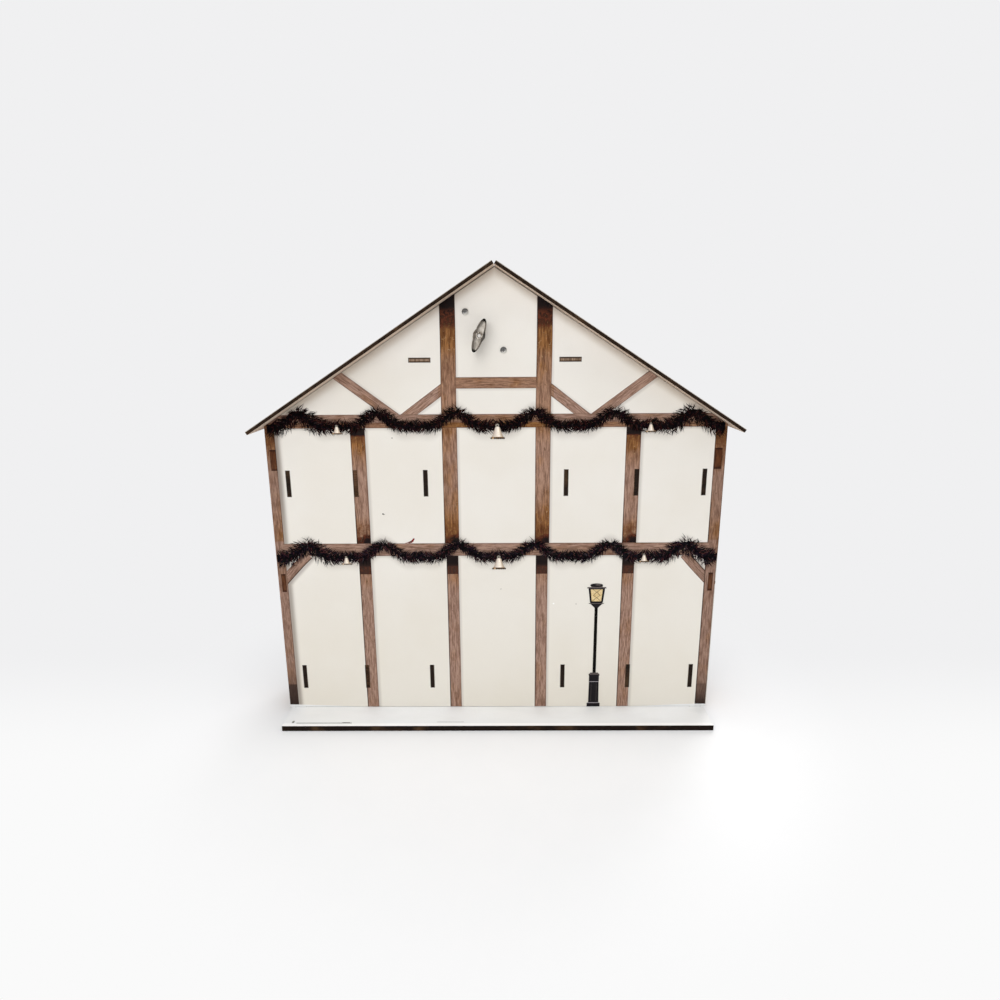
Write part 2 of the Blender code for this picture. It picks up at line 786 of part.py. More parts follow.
def build_spring(housing_material, spring_material):
    """The cup that holds the mainspring against the bedplate, and the coiled strip inside it."""
    inner = housing_radius - housing_wall
    bore = arbor_radius + arbor_clearance
    cover = housing_height - housing_wall
    profile = [(inner, 0), (housing_radius, 0), (housing_radius, housing_height)]
    profile += [(bore, housing_height), (bore, cover), (inner, cover)]
    mesh = turned_mesh("spring_housing", profile, 2 * arbor_sides)
    y = bedplate_top + glue_gap
    housing = bpy.data.objects.new("spring_housing", mesh)
    place(housing, housing_material, (key_x, y, movement_z), along_y)

    curve = bpy.data.curves.new("mainspring", "CURVE")
    curve.dimensions = "3D"
    curve.extrude = spring_width / 2
    spline = curve.splines.new("POLY")
    count = spring_turns * spring_points_a_turn
    spline.points.add(count)
    outer = inner - joint_gap - spring_strip
    for i, point in enumerate(spline.points):
        share = i / count
        radius = spring_inner_radius + (outer - spring_inner_radius) * share
        turn = 2 * math.pi * spring_turns * share
        point.co = (radius * math.cos(turn), radius * math.sin(turn), 0, 1)
    obj = bpy.data.objects.new("mainspring", curve)
    middle = y + (cover - glue_gap) / 2
    place(obj, spring_material, (key_x, middle, movement_z), along_y)
    thicken = obj.modifiers.new("strip", "SOLIDIFY")
    thicken.thickness = spring_strip
    thicken.offset = 0


def cylinder_barrel(work):
    """The tune barrel: a grid of note columns whose chosen cells stand out as pins."""
    column = cylinder_length / notes
    lows = [-cylinder_length / 2 + column * i for i in range(notes + 1)]
    rings = []
    for height in lows:
        ring = []
        for j in range(cylinder_steps):
            turn = 2 * math.pi * (j + 0.5) / cylinder_steps
            spot = (cylinder_radius * math.cos(turn), cylinder_radius * math.sin(turn), height)
            ring.append(work.verts.new(spot))
        rings.append(ring)
    chosen = []
    for i in range(notes):
        for j in range(cylinder_steps):
            k = (j + 1) % cylinder_steps
            face = work.faces.new((rings[i][j], rings[i][k], rings[i + 1][k], rings[i + 1][j]))
            if (tune_column_stride * i + tune_step_stride * j) % tune_spacing == 0:
                chosen.append(face)
    work.faces.new(list(reversed(rings[0])))
    work.faces.new(rings[-1])
    bmesh.ops.recalc_face_normals(work, faces=work.faces)
    bmesh.ops.inset_individual(work, faces=chosen, thickness=column * pin_inset_share)
    grown = bmesh.ops.extrude_discrete_faces(work, faces=chosen)
    for face in grown["faces"]:
        outward = face.calc_center_median()
        outward.z = 0
        lift = outward.normalized() * cylinder_pin_height
        bmesh.ops.translate(work, verts=face.verts, vec=lift)


def build_cylinder(material):
    """Barrel, shaft, driven pinion and the wheel that drives the governor, turning as one."""
    facing_crown = -math.pi / 2
    start = pinion_x - pinion_width / 2 - cylinder_x
    end = right_bearing_x + bearing_thickness / 2 - cylinder_x
    shaft = turned_mesh("cylinder_shaft", rod_profile(cylinder_shaft_radius, start, end), pin_sides)
    pinion = gear_mesh("cylinder_pinion", gear_outline(
        pinion_teeth, pinion_pitch_radius - pinion_dedendum, pinion_tip_radius,
        pinion_pitch_radius, pinion_tooth_share, facing_crown), pinion_width)
    wheel = gear_mesh("cylinder_wheel", gear_outline(
        wheel_teeth, wheel_pitch_radius - wheel_dedendum, wheel_pitch_radius + wheel_addendum,
        wheel_pitch_radius, wheel_tooth_share), wheel_width)
    barrel = finished_mesh("cylinder_barrel", cylinder_barrel)
    collar = turned_mesh("cylinder_collar", rod_profile(
        2 * cylinder_shaft_radius, 0, wheel_x - cylinder_x), pin_sides)
    mesh = combined_mesh("music_cylinder", (barrel, Matrix.Identity(4)), [
        (shaft, Matrix.Identity(4)),
        (collar, Matrix.Identity(4)),
        (pinion, Matrix.Translation((0, 0, pinion_x - cylinder_x))),
        (wheel, Matrix.Translation((0, 0, wheel_x - cylinder_x))),
    ])
    obj = bpy.data.objects.new("music_cylinder", mesh)
    place(obj, material, (cylinder_x, shaft_y, movement_z), along_x)


def bearing_outline(half_width, top, low):
    """A bearing cheek on the bedplate: straight sides and a clipped top, about the cylinder's axis."""
    foot = bedplate_top + glue_gap - shaft_y
    clip = half_width / 2
    return [(foot, low), (top - clip, low), (top, low + clip), (top, half_width - clip),
            (top - clip, half_width), (foot, half_width)]


def build_bearings(material):
    """Two cheeks carry the cylinder; the right one also carries the idler's shaft."""
    hole = circle(0, 0, cylinder_shaft_radius + arbor_clearance, pin_sides)
    left = bearing_outline(bearing_half_width, bearing_rise, -bearing_half_width)
    idler_offset = idler_z - movement_z
    right = bearing_outline(bearing_half_width, bearing_rise, idler_offset - bearing_half_width)
    idler_hole = circle(0, idler_offset, idler_shaft_radius + arbor_clearance, pin_sides)
    pieces = (("left", left, [hole], left_bearing_x), ("right", right, [hole, idler_hole], right_bearing_x))
    for side, outline, holes, x in pieces:
        name = f"cylinder_bearing_{side}"
        sheet(name, outline, holes, bearing_thickness, material, (x, shaft_y, movement_z), facing_side)


def build_comb(comb_material, block_material):
    """A steel comb of 18 tongues, longer to the bass end, on a block fixed to the bedplate."""
    left = cylinder_x - cylinder_length / 2
    right = cylinder_x + cylinder_length / 2
    tip = movement_z + cylinder_radius + cylinder_pin_height + comb_gap
    back = tip + comb_reach
    pitch = cylinder_length / notes
    slit = pitch * comb_slit_share
    outline = [(right, back), (left, back)]
    for i in range(notes):
        low = left + i * pitch
        if i > 0:
            deep = tip + comb_reach * (1 - comb_root_share) * (1 - comb_treble_share * i / notes)
            outline += [(low - slit / 2, tip), (low - slit / 2, deep)]
            outline += [(low + slit / 2, deep), (low + slit / 2, tip)]
        else:
            outline.append((low, tip))
    outline.append((right, tip))
    sheet("music_comb", outline, [], comb_thickness, comb_material, (0, shaft_y, 0), facing_back)
    bottom, top = bedplate_top + glue_gap, shaft_y - comb_thickness / 2 - glue_gap
    block = rectangle(left, back - comb_block_depth, right, back)
    middle = (bottom + top) / 2
    sheet("comb_block", block, [], top - bottom, block_material, (0, middle, 0), facing_back)


def build_idler(material):
    """The idler: a pinion in the cylinder's wheel and a worm wheel at the worm, on one shaft."""
    start = wheel_x - wheel_width - worm_wheel_x
    end = end_plate_x + governor_plate / 2 - worm_wheel_x
    phase = math.pi / idler_teeth
    shaft = turned_mesh("idler_shaft", rod_profile(idler_shaft_radius, start, end), pin_sides)
    pinion = gear_mesh("idler_pinion", gear_outline(
        idler_teeth, idler_pitch_radius - wheel_dedendum, idler_pitch_radius + wheel_addendum,
        idler_pitch_radius, wheel_tooth_share, phase), wheel_width)
    worm_wheel = gear_mesh("idler_worm_wheel", gear_outline(
        worm_wheel_teeth, worm_wheel_pitch_radius - worm_wheel_dedendum,
        worm_wheel_pitch_radius + worm_wheel_addendum, worm_wheel_pitch_radius, wheel_tooth_share),
        worm_wheel_width)
    mesh = combined_mesh("idler_gear", (worm_wheel, Matrix.Identity(4)), [
        (shaft, Matrix.Identity(4)),
        (pinion, Matrix.Translation((0, 0, wheel_x - worm_wheel_x))),
    ])
    obj = bpy.data.objects.new("idler_gear", mesh)
    place(obj, material, (worm_wheel_x, shaft_y, idler_z), along_x)


def worm_thread(work):
    """A helical ridge whose gap faces the worm wheel's tooth, from a small section swept round the core."""
    count = worm_thread_turns * worm_steps_a_turn
    inner = worm_core_radius * worm_root_share
    half = worm_thread_thickness / 2
    foot = half * worm_foot_share
    section = ((inner, -foot), (worm_thread_radius, -half), (worm_thread_radius, half), (inner, foot))
    gap_facing_wheel = 1 / 4
    first_turn = 1 / 2 - gap_facing_wheel - worm_thread_turns / 2
    rings = []
    for i in range(count + 1):
        turn = 2 * math.pi * i / worm_steps_a_turn
        climb = (i / worm_steps_a_turn + first_turn) * worm_pitch
        rings.append([
            work.verts.new((radius * math.cos(turn), radius * math.sin(turn), climb + height))
            for radius, height in section
        ])
    for here, after in zip(rings, rings[1:]):
        for j in range(len(section)):
            k = (j + 1) % len(section)
            work.faces.new((here[j], here[k], after[k], after[j]))
    work.faces.new(list(reversed(rings[0])))
    work.faces.new(rings[-1])


def build_governor(worm_material, fly_material, frame_material):
    """The worm and its air brake turn between the bedplate and the arm of the governor's frame."""
    half_thread = (worm_thread_turns + 1) / 2 * worm_pitch
    low = bedplate_y + glue_gap - shaft_y
    high = arm_y + governor_plate / 2 - shaft_y
    profile = [(0, low), (worm_shaft_radius, low), (worm_shaft_radius, -half_thread)]
    profile += [(worm_core_radius, -half_thread), (worm_core_radius, half_thread)]
    profile += [(worm_shaft_radius, half_thread), (worm_shaft_radius, high), (0, high)]
    core = turned_mesh("worm_core", profile, worm_steps_a_turn)
    thread = finished_mesh("worm_thread", worm_thread)
    level = Matrix.Identity(4)
    mesh = combined_mesh("governor_worm", (core, level), [(thread, level)])
    worm = bpy.data.objects.new("governor_worm", mesh)
    place(worm, worm_material, (worm_wheel_x, shaft_y, worm_z), along_y)

    fly_low = shaft_y + half_thread + glue_gap
    fly_middle = (fly_low + arm_y - governor_plate / 2 - glue_gap) / 2
    height = arm_y - governor_plate / 2 - glue_gap - fly_low
    hub = turned_mesh("fly_hub", ring_profile(
        worm_shaft_radius + glue_gap, fly_hub_radius, -height / 2, height / 2), worm_steps_a_turn)
    wings = []
    for side in (-1, 1):
        inner = worm_shaft_radius + glue_gap + fly_thickness / 2
        near, far = sorted((side * inner, side * fly_radius))
        outline = rectangle(near, -fly_thickness / 2, far, fly_thickness / 2)
        blade = sheet_data("fly_wing", outline, [], height - glue_gap)
        wings.append((as_mesh("fly_wing", blade), level))
    fly_mesh = combined_mesh("governor_fly", (hub, level), wings)
    fly = bpy.data.objects.new("governor_fly", fly_mesh)
    place(fly, fly_material, (worm_wheel_x, fly_middle, worm_z), along_y)
    build_governor_frame(frame_material)


def build_governor_frame(material):
    """An end plate that carries the idler's shaft, with an arm over the fly for the worm's upper pivot."""
    foot = bedplate_top + glue_gap
    half = bearing_half_width / 2
    narrow_z = worm_z - fly_radius - 2 * glue_gap
    low_z = idler_z - half
    wide = [(foot, low_z), (arm_y, low_z), (arm_y, narrow_z), (fly_y - fly_height, narrow_z)]
    wide += [(shaft_y + half, idler_z + half), (foot, idler_z + half)]
    hole = circle(shaft_y, idler_z, idler_shaft_radius + arbor_clearance, pin_sides)
    end_plate = as_mesh("governor_end_plate", sheet_data("end", wide, [hole], governor_plate))
    outer_x = end_plate_x + governor_plate / 2
    arm = [(worm_wheel_x - half, low_z), (outer_x, low_z), (outer_x, narrow_z)]
    arm += [(worm_wheel_x + half, worm_z + half), (worm_wheel_x - half, worm_z + half)]
    pivot = circle(worm_wheel_x, worm_z, worm_shaft_radius + arbor_clearance, pin_sides)
    arm_plate = as_mesh("governor_arm", sheet_data("arm", arm, [pivot], governor_plate))
    upright = Matrix.Rotation(math.pi / 2, 4, "X")
    sideways = Matrix.Rotation(math.pi / 2, 4, "Z") @ upright
    side_matrix = Matrix.Translation((end_plate_x, 0, 0)) @ sideways
    arm_matrix = Matrix.Translation((0, arm_y, 0)) @ upright
    mesh = combined_mesh("governor_frame", (end_plate, side_matrix), [(arm_plate, arm_matrix)])
    place(bpy.data.objects.new("governor_frame", mesh), material)


def main():
    clear_scene()
    wood = principled("printed_board", (235, 231, 224), 0.55)
    snow = principled("snow_board", (233, 232, 232), 0.5)
    inside = principled("raw_board", (196, 160, 118), 0.75)
    door = principled("door_board", (170, 60, 48), 0.5)
    zinc = principled("cast_zinc", (150, 152, 155), 0.35, 1.0)
    steel = principled("steel", (125, 125, 128), 0.3, 1.0)
    brass = principled("brass", (196, 160, 88), 0.3, 1.0)
    nylon = principled("nylon", (228, 224, 212), 0.45)
    build_base(snow)
    build_back_panel(wood)
    build_front_frame(wood)
    build_roof(snow)
    build_side_walls(inside)
    build_dividers(inside)
    build_shelves(inside)
    build_loft_floor(inside)
    build_attic_deck(inside)
    build_doors(door)
    build_key(steel)
    build_arbor(steel)
    build_great_wheel(brass)
    build_bedplate(zinc)
    build_screws(steel)
    build_spring(zinc, steel)
    build_cylinder(brass)
    build_bearings(zinc)
    build_comb(steel, zinc)
    build_idler(nylon)
    build_governor(brass, nylon, zinc)


main()
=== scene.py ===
import math
import random

import bmesh
import bpy
from mathutils import Matrix, Vector


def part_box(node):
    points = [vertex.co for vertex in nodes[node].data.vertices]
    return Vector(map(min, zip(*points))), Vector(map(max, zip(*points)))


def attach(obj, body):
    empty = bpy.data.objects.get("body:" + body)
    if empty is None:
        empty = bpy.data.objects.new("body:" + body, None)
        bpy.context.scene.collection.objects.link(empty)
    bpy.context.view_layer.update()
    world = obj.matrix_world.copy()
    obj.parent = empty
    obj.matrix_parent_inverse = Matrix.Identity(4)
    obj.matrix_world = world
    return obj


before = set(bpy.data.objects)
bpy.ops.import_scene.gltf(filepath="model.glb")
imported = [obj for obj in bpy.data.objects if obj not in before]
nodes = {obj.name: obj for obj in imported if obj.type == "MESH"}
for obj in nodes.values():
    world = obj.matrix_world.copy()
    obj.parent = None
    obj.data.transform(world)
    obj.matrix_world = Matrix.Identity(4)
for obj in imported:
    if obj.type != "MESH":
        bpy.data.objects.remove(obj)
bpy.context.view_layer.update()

# Values that a user may change, one group for each piece. Lengths are in metres.
camera = {
    "place": (0.007538, -0.570691, 0.341127),
    "yaw": math.radians(0.428),
    "pitch": math.radians(14.11),
    "roll": math.radians(-0.355),
    "lens": 23.217,
    "sensor": 36.0,
}
house = {
    "board": 0.003,
    "baseTop": 0.005,
    "frontFace": 0.030,
    "halfWidth": 0.195,
    "eave": 0.2704,
    "ridge": 0.3967,
}
timber = {
    "outer": (0.1904, 0.0049),
    "second": (0.1165, 0.0063),
    "secondLow": (0.1166, 0.0054),
    "gable": (0.0395, 0.0064),
    "centre": (0.0395, 0.0053),
    "tieBeam": (0.2680, 0.2794),
    "midBeam": (0.1546, 0.1662),
    "collar": (0.3006, 0.3098),
    "frontTie": (0.2552, 0.2672),
    "frontCollar": (0.3005, 0.3100),
    "frontPost": (0.1877, 0.0062),
    "gableTo": 0.048,
    "outerFrom": 0.105,
    "secondTo": 0.130,
    "cornerFrom": 0.170,
    "leftStep": 0.0013,
    "rightStep": 0.0009,
    "rightRelief": 0.0006,
    "braceHalf": 0.0042,
    "softEdge": 0.00018,
    "gableShift": 0.0006,
    "shadeRight": 0.0016,
    "shadeDown": 0.0006,
    "slotWalls": (0.0603, 0.1205, 0.1785),
    "slotHeights": (0.0367, 0.2203),
    "slotHalf": (0.0020, 0.0117),
    "deckSlot": (0.0620, 0.0091),
    "pegs": ((0.1903, 0.0021, 0.1208, 0.1380), (0.1890, 0.0032, 0.2317, 0.2500)),
}
# How the timbers' print changes with height: (height, strength) pairs.
profiles = {
    "gableAge": [(0.3400, 0.0), (0.3470, 0.10), (0.3520, 0.44), (0.3600, 0.52), (0.3665, 0.86),
                 (0.3735, 1.0)],
    "gableWarmth": [
        (0.1680, 0.0), (0.1690, 1.0), (0.1830, 1.0), (0.1920, 0.82), (0.2050, 0.36), (0.2230, 0.20),
        (0.2530, 0.20), (0.2640, 0.56), (0.2790, 0.40), (0.2980, 0.38), (0.3240, 0.60), (0.3350, 1.0),
        (0.3700, 1.0),
    ],
    "outerWarmth": [
        (0.1680, 0.0), (0.1690, 0.55), (0.1810, 0.50), (0.1920, 0.10), (0.2250, 0.05), (0.2320, 0.18),
        (0.2490, 0.70), (0.2590, 1.0), (0.2680, 1.0),
    ],
    "outline": [(0.0050, 0.72), (0.1900, 0.72), (0.2150, 0.15), (0.3000, 0.15), (0.3300, 0.45),
                (0.3500, 0.45)],
    "foot": [(0.0050, 0.97), (0.0105, 0.95), (0.0180, 0.90), (0.0284, 0.86), (0.0290, 0.42), (0.0480, 0.0)],
}
garland = {
    "upperHeight": 0.2727,
    "lowerHeight": 0.1569,
    "frontHeight": 0.2674,
    "frontLow": 0.2545,
    "swing": 0.0054,
    "sharpness": 0.42,
    "wave": 0.0664,
    "needles": 5200,
    "length": 0.0049,
    "width": 0.00046,
    "spread": 0.0020,
    "coreHalf": 0.0021,
    "endStart": 0.135,
    "endFull": 0.155,
    "endGrowth": 0.85,
    "endDrop": 0.0008,
    "lift": 0.00012,
    "layer": 0.00012,
}
bell = {
    "small": (0.0066, 0.0050),
    "large": (0.0107, 0.0061),
    "lift": 0.00034,
    "tall": 0.98,
    "beads": 8,
    "profile": [(0.06, 0.00), (0.15, 0.02), (0.20, 0.08), (0.23, 0.20), (0.27, 0.34), (0.33, 0.50),
                (0.37, 0.64), (0.43, 0.77), (0.45, 0.82)],
    "columns": [-1.0, -0.6, -0.2, 0.2, 0.6, 1.0],
    "backUpper": ((-0.1336, 0.2694, "small"), (0.0018, 0.2688, "large"), (0.1305, 0.2701, "small")),
    "backLower": ((-0.1328, 0.1531, "small"), (0.0023, 0.1523, "large"), (0.1303, 0.1546, "small")),
    "front": ((-0.1328, 0.2632, "small"), (0.0, 0.2652, "large"), (0.1328, 0.2632, "small")),
}
lamp = {
    "x": 0.0896,
    "lift": 0.00020,
}
door = {
    "cell": 0.0470,
    "walls": (-0.1785, -0.1205, -0.0603, 0.0603, 0.1205, 0.1785),
    "gap": 0.0005,
    "numberSize": 0.0105,
    "numberLift": 0.00010,
    "plaqueRadius": 0.0088,
    "plaqueRise": 0.0015,
    "largeRise": 0.017,
    "largeScale": 1.35,
    "wreathRadius": 0.0170,
    "wreathNeedles": 2600,
}
key = {
    "lean": math.radians(20),
    "tipStart": 0.0095,
    "tipEnd": 0.0125,
    "lip": 0.0003,
    "tube": 0.0030,
}
light = {
    "world": 0.45,
    "key": 11.6,
    "fill": 19.0,
    "top": 14.8,
    "background": (240, 240, 241),
    "foreground": (250, 250, 250),
}


def linear(srgb):
    # A colour as seen, 0 to 255, in the renderer's own values.
    return tuple((v / 255 / 12.92) if v / 255 <= 0.04045 else ((v / 255 + 0.055) / 1.055) ** 2.4
                 for v in srgb)


class Value:
    # An output of a node. Arithmetic on it adds the math nodes that work it out.

    def __init__(self, maker, socket):
        self.maker = maker
        self.socket = socket

    def __add__(self, other):
        return self.maker.math("ADD", self, other)

    def __radd__(self, other):
        return self.maker.math("ADD", other, self)

    def __sub__(self, other):
        return self.maker.math("SUBTRACT", self, other)

    def __rsub__(self, other):
        return self.maker.math("SUBTRACT", other, self)

    def __mul__(self, other):
        return self.maker.math("MULTIPLY", self, other)

    def __truediv__(self, other):
        return self.maker.math("DIVIDE", self, other)

    def __neg__(self):
        return self.maker.math("MULTIPLY", self, -1.0)

    def __abs__(self):
        return self.maker.math("ABSOLUTE", self)

    def __gt__(self, other):
        return self.maker.math("GREATER_THAN", self, other)

    def __lt__(self, other):
        return self.maker.math("LESS_THAN", self, other)


class Nodes:
    # Short calls that add and link nodes in one node tree.

    def __init__(self, tree):
        self.tree = tree

    def add(self, kind, inputs=None, **settings):
        node = self.tree.nodes.new(kind)
        for name, value in settings.items():
            setattr(node, name, value)
        for key, value in (inputs or {}).items():
            self.feed(node.inputs[key], value)
        return node

    def outputs(self, node):
        # The node's outputs by label, ready for arithmetic.
        return {socket.name: Value(self, socket) for socket in node.outputs}

    def feed(self, socket, value):
        if isinstance(value, Value):
            self.tree.links.new(value.socket, socket)
        elif isinstance(value, bpy.types.NodeSocket):
            self.tree.links.new(value, socket)
        elif value is not None:
            if socket.type == "RGBA" and len(value) == 3:
                value = (*value, 1.0)
            socket.default_value = value

    def math(self, operation, first, second=None, clamp=False):
        node = self.add("ShaderNodeMath", operation=operation, use_clamp=clamp)
        for socket, value in zip(node.inputs, (first, second)):
            self.feed(socket, value)
        return Value(self, node.outputs[0])

    def most(self, first, second, clamp=False):
        return self.math("MAXIMUM", first, second, clamp)

    def least(self, first, second):
        return self.math("MINIMUM", first, second)

    def sign(self, value):
        return self.math("SIGN", value)

    def vector(self, operation, first, second=None, scale=None):
        node = self.add("ShaderNodeVectorMath", operation=operation)
        self.feed(node.inputs[0], first)
        self.feed(node.inputs[1], second)
        if scale is not None:
            self.feed(node.inputs["Scale"], scale)
        return Value(self, node.outputs["Value" if operation in ("DOT_PRODUCT", "LENGTH") else "Vector"])

    def scaled(self, vector, factors):
        return self.vector("MULTIPLY", vector, factors)

    def combine(self, x=0.0, y=0.0, z=0.0):
        return Value(self, self.add("ShaderNodeCombineXYZ", {0: x, 1: y, 2: z}).outputs[0])

    def separate(self, vector):
        return list(self.outputs(self.add("ShaderNodeSeparateXYZ", {0: vector})).values())

    def mix(self, factor, first, second, blend="MIX"):
        node = self.add("ShaderNodeMix", data_type="RGBA", blend_type=blend)
        for key, value in ((0, factor), (6, first), (7, second)):
            self.feed(node.inputs[key], value)
        return Value(self, node.outputs[2])

    def tinted(self, colour, tint):
        return self.mix(1.0, colour, tint, "MULTIPLY")

    def blend(self, factor, first, second):
        node = self.add("ShaderNodeMix", {0: factor, 2: first, 3: second}, data_type="FLOAT")
        return Value(self, node.outputs[0])

    def blendVector(self, factor, first, second):
        node = self.add("ShaderNodeMix", {0: factor, 4: first, 5: second}, data_type="VECTOR")
        return Value(self, node.outputs[1])

    def ramp(self, value, stops):
        # Colours or greys at places from 0 to 1.
        node = self.add("ShaderNodeValToRGB", {0: value})
        elements = node.color_ramp.elements
        while len(elements) < len(stops):
            elements.new(0.5)
        for element, (place, colour) in zip(elements, stops):
            element.position = place
            colour = (colour,) * 3 if isinstance(colour, (int, float)) else colour
            element.color = (*colour, 1.0)
        return Value(self, node.outputs[0])

    def noise(self, vector, scale, detail=3.0, roughness=0.55):
        settings = {"Vector": vector, "Scale": scale, "Detail": detail, "Roughness": roughness}
        return Value(self, self.add("ShaderNodeTexNoise", settings).outputs[0])

    def rise(self, value, low, high):
        # 0 below low and 1 above high, smooth between them.
        node = self.add("ShaderNodeMapRange", {0: value, 1: low, 2: high}, interpolation_type="SMOOTHSTEP")
        return Value(self, node.outputs[0])

    def fall(self, value, low, high):
        # 1 below low and 0 above high, smooth between them.
        return 1.0 - self.rise(value, low, high)

    def placed(self, tree, inputs):
        node = self.tree.nodes.new("ShaderNodeGroup")
        node.node_tree = tree
        for key, value in inputs.items():
            self.feed(node.inputs[key], value)
        return self.outputs(node)

    def link(self, start, end):
        self.tree.links.new(start.outputs[0], end)


def newGroup(name, inputs, outputs):
    # An empty shader node group; returns its maker, its inputs and a function that ends it. A number
    # given for an input is a plain value, four make a colour, and three or none a vector.
    tree = bpy.data.node_groups.new(name, "ShaderNodeTree")
    for label, default in inputs.items():
        kind = "Color" if isinstance(default, tuple) and len(default) == 4 else "Vector"
        kind = "Float" if isinstance(default, float) else kind
        socket = tree.interface.new_socket(label, in_out="INPUT", socket_type="NodeSocket" + kind)
        if default is not None:
            socket.default_value = default
    for label, kind in outputs.items():
        tree.interface.new_socket(label, in_out="OUTPUT", socket_type="NodeSocket" + kind)
    maker = Nodes(tree)
    entry = maker.outputs(maker.add("NodeGroupInput"))
    leave = maker.add("NodeGroupOutput")

    def finish(values):
        for label, value in values.items():
            maker.feed(leave.inputs[label], value)

    return tree, maker, entry, finish


def newMaterial(name):
    material = bpy.data.materials.new(name)
    material.use_nodes = True
    material.node_tree.nodes.clear()
    maker = Nodes(material.node_tree)
    place = maker.add("ShaderNodeTexCoord")
    return material, maker, place.outputs["Object"], place.outputs["Normal"]


def finishMaterial(maker, colour, roughness, height=None, bump=0.3, distance=0.0002, metallic=0.0, **plain):
    # Ends a material in one Principled shader; plain holds the shader's own constant values.
    shader = maker.add("ShaderNodeBsdfPrincipled")
    maker.feed(shader.inputs["Base Color"], colour)
    maker.feed(shader.inputs["Roughness"], roughness)
    maker.feed(shader.inputs["Metallic"], metallic)
    for label, value in plain.items():
        shader.inputs[label.replace("_", " ")].default_value = value
    if height is not None:
        bumped = maker.add("ShaderNodeBump", {"Strength": bump, "Distance": distance, "Height": height})
        maker.feed(shader.inputs["Normal"], bumped.outputs[0])
    out = maker.add("ShaderNodeOutputMaterial")
    maker.link(shader, out.inputs[0])


def buildBurntEdge():
    # A laser-cut edge: brown to black, streaked along the cut, with a paler line by one face.
    tree, maker, entry, finish = newGroup(
        "burntEdge",
        {"Vector": None, "Across": (0, 1, 0), "Tone": (0.03, 0.018, 0.011, 1)},
        {"Color": "Color", "Height": "Float"},
    )
    along = maker.scaled(entry["Vector"], maker.vector("SUBTRACT", (1.04, 1.04, 1.04), entry["Across"]))
    streak = maker.noise(along, 900, 2.0, 0.6)
    patch = maker.noise(entry["Vector"], 38, 3.0, 0.5)
    fibre = maker.noise(entry["Vector"], 2400, 1.0, 0.5)
    darker = maker.tinted(entry["Tone"], linear((120, 112, 104)))
    lighter = maker.mix(0.55, entry["Tone"], linear((122, 92, 62)))
    colour = maker.mix(maker.rise(streak, 0.2, 0.8), darker, entry["Tone"])
    colour = maker.mix(maker.rise(patch, 0.52, 0.75) * 0.7, colour, lighter)
    colour = maker.mix(fibre * 0.25, colour, darker)
    height = streak * 0.7 + fibre * 0.3
    finish({"Color": colour, "Height": height})
    return tree


def buildRawBoard():
    # Unprinted fibreboard: tan, with fine fibres and soft cloudy tone.
    tree, maker, entry, finish = newGroup(
        "rawBoard",
        {"Vector": None, "Tone": (0.5, 0.32, 0.17, 1)},
        {"Color": "Color", "Height": "Float"},
    )
    cloud = maker.noise(entry["Vector"], 60, 4.0, 0.6)
    fibre = maker.noise(maker.scaled(entry["Vector"], (1.0, 0.35, 0.35)), 1900, 2.0, 0.7)
    fleck = maker.rise(maker.noise(entry["Vector"], 900, 2.0, 0.5), 0.62, 0.74)
    colour = maker.mix(maker.rise(cloud, 0.3, 0.7) * 0.22, entry["Tone"], linear((150, 112, 74)))
    colour = maker.mix(maker.rise(fibre, 0.35, 0.75) * 0.3, colour, linear((214, 184, 146)))
    colour = maker.mix(fleck * 0.4, colour, linear((122, 88, 56)))
    finish({"Color": colour, "Height": fibre})
    return tree


def buildPrintedCoat():
    # What every printed face shares: fine ink dots, faint cloudiness and lacquer that isn't quite even.
    tree, maker, entry, finish = newGroup(
        "printedCoat",
        {"Vector": None, "Color": (0.8, 0.8, 0.8, 1)},
        {"Color": "Color", "Roughness": "Float", "Height": "Float"},
    )
    cloud = maker.noise(entry["Vector"], 14, 3.0, 0.5)
    dots = maker.noise(entry["Vector"], 3600, 1.0, 0.4)
    tint = maker.mix(maker.rise(cloud, 0.35, 0.7), (1.0, 1.0, 1.0), linear((252, 251, 249)))
    speck = maker.mix(maker.rise(dots, 0.55, 0.8), (1.0, 1.0, 1.0), linear((246, 244, 241)))
    colour = maker.tinted(maker.tinted(entry["Color"], tint), speck)
    peel = maker.noise(entry["Vector"], 420, 2.0, 0.5)
    rough = 0.44 + peel * 0.16
    finish({"Color": colour, "Roughness": rough, "Height": peel})
    return tree


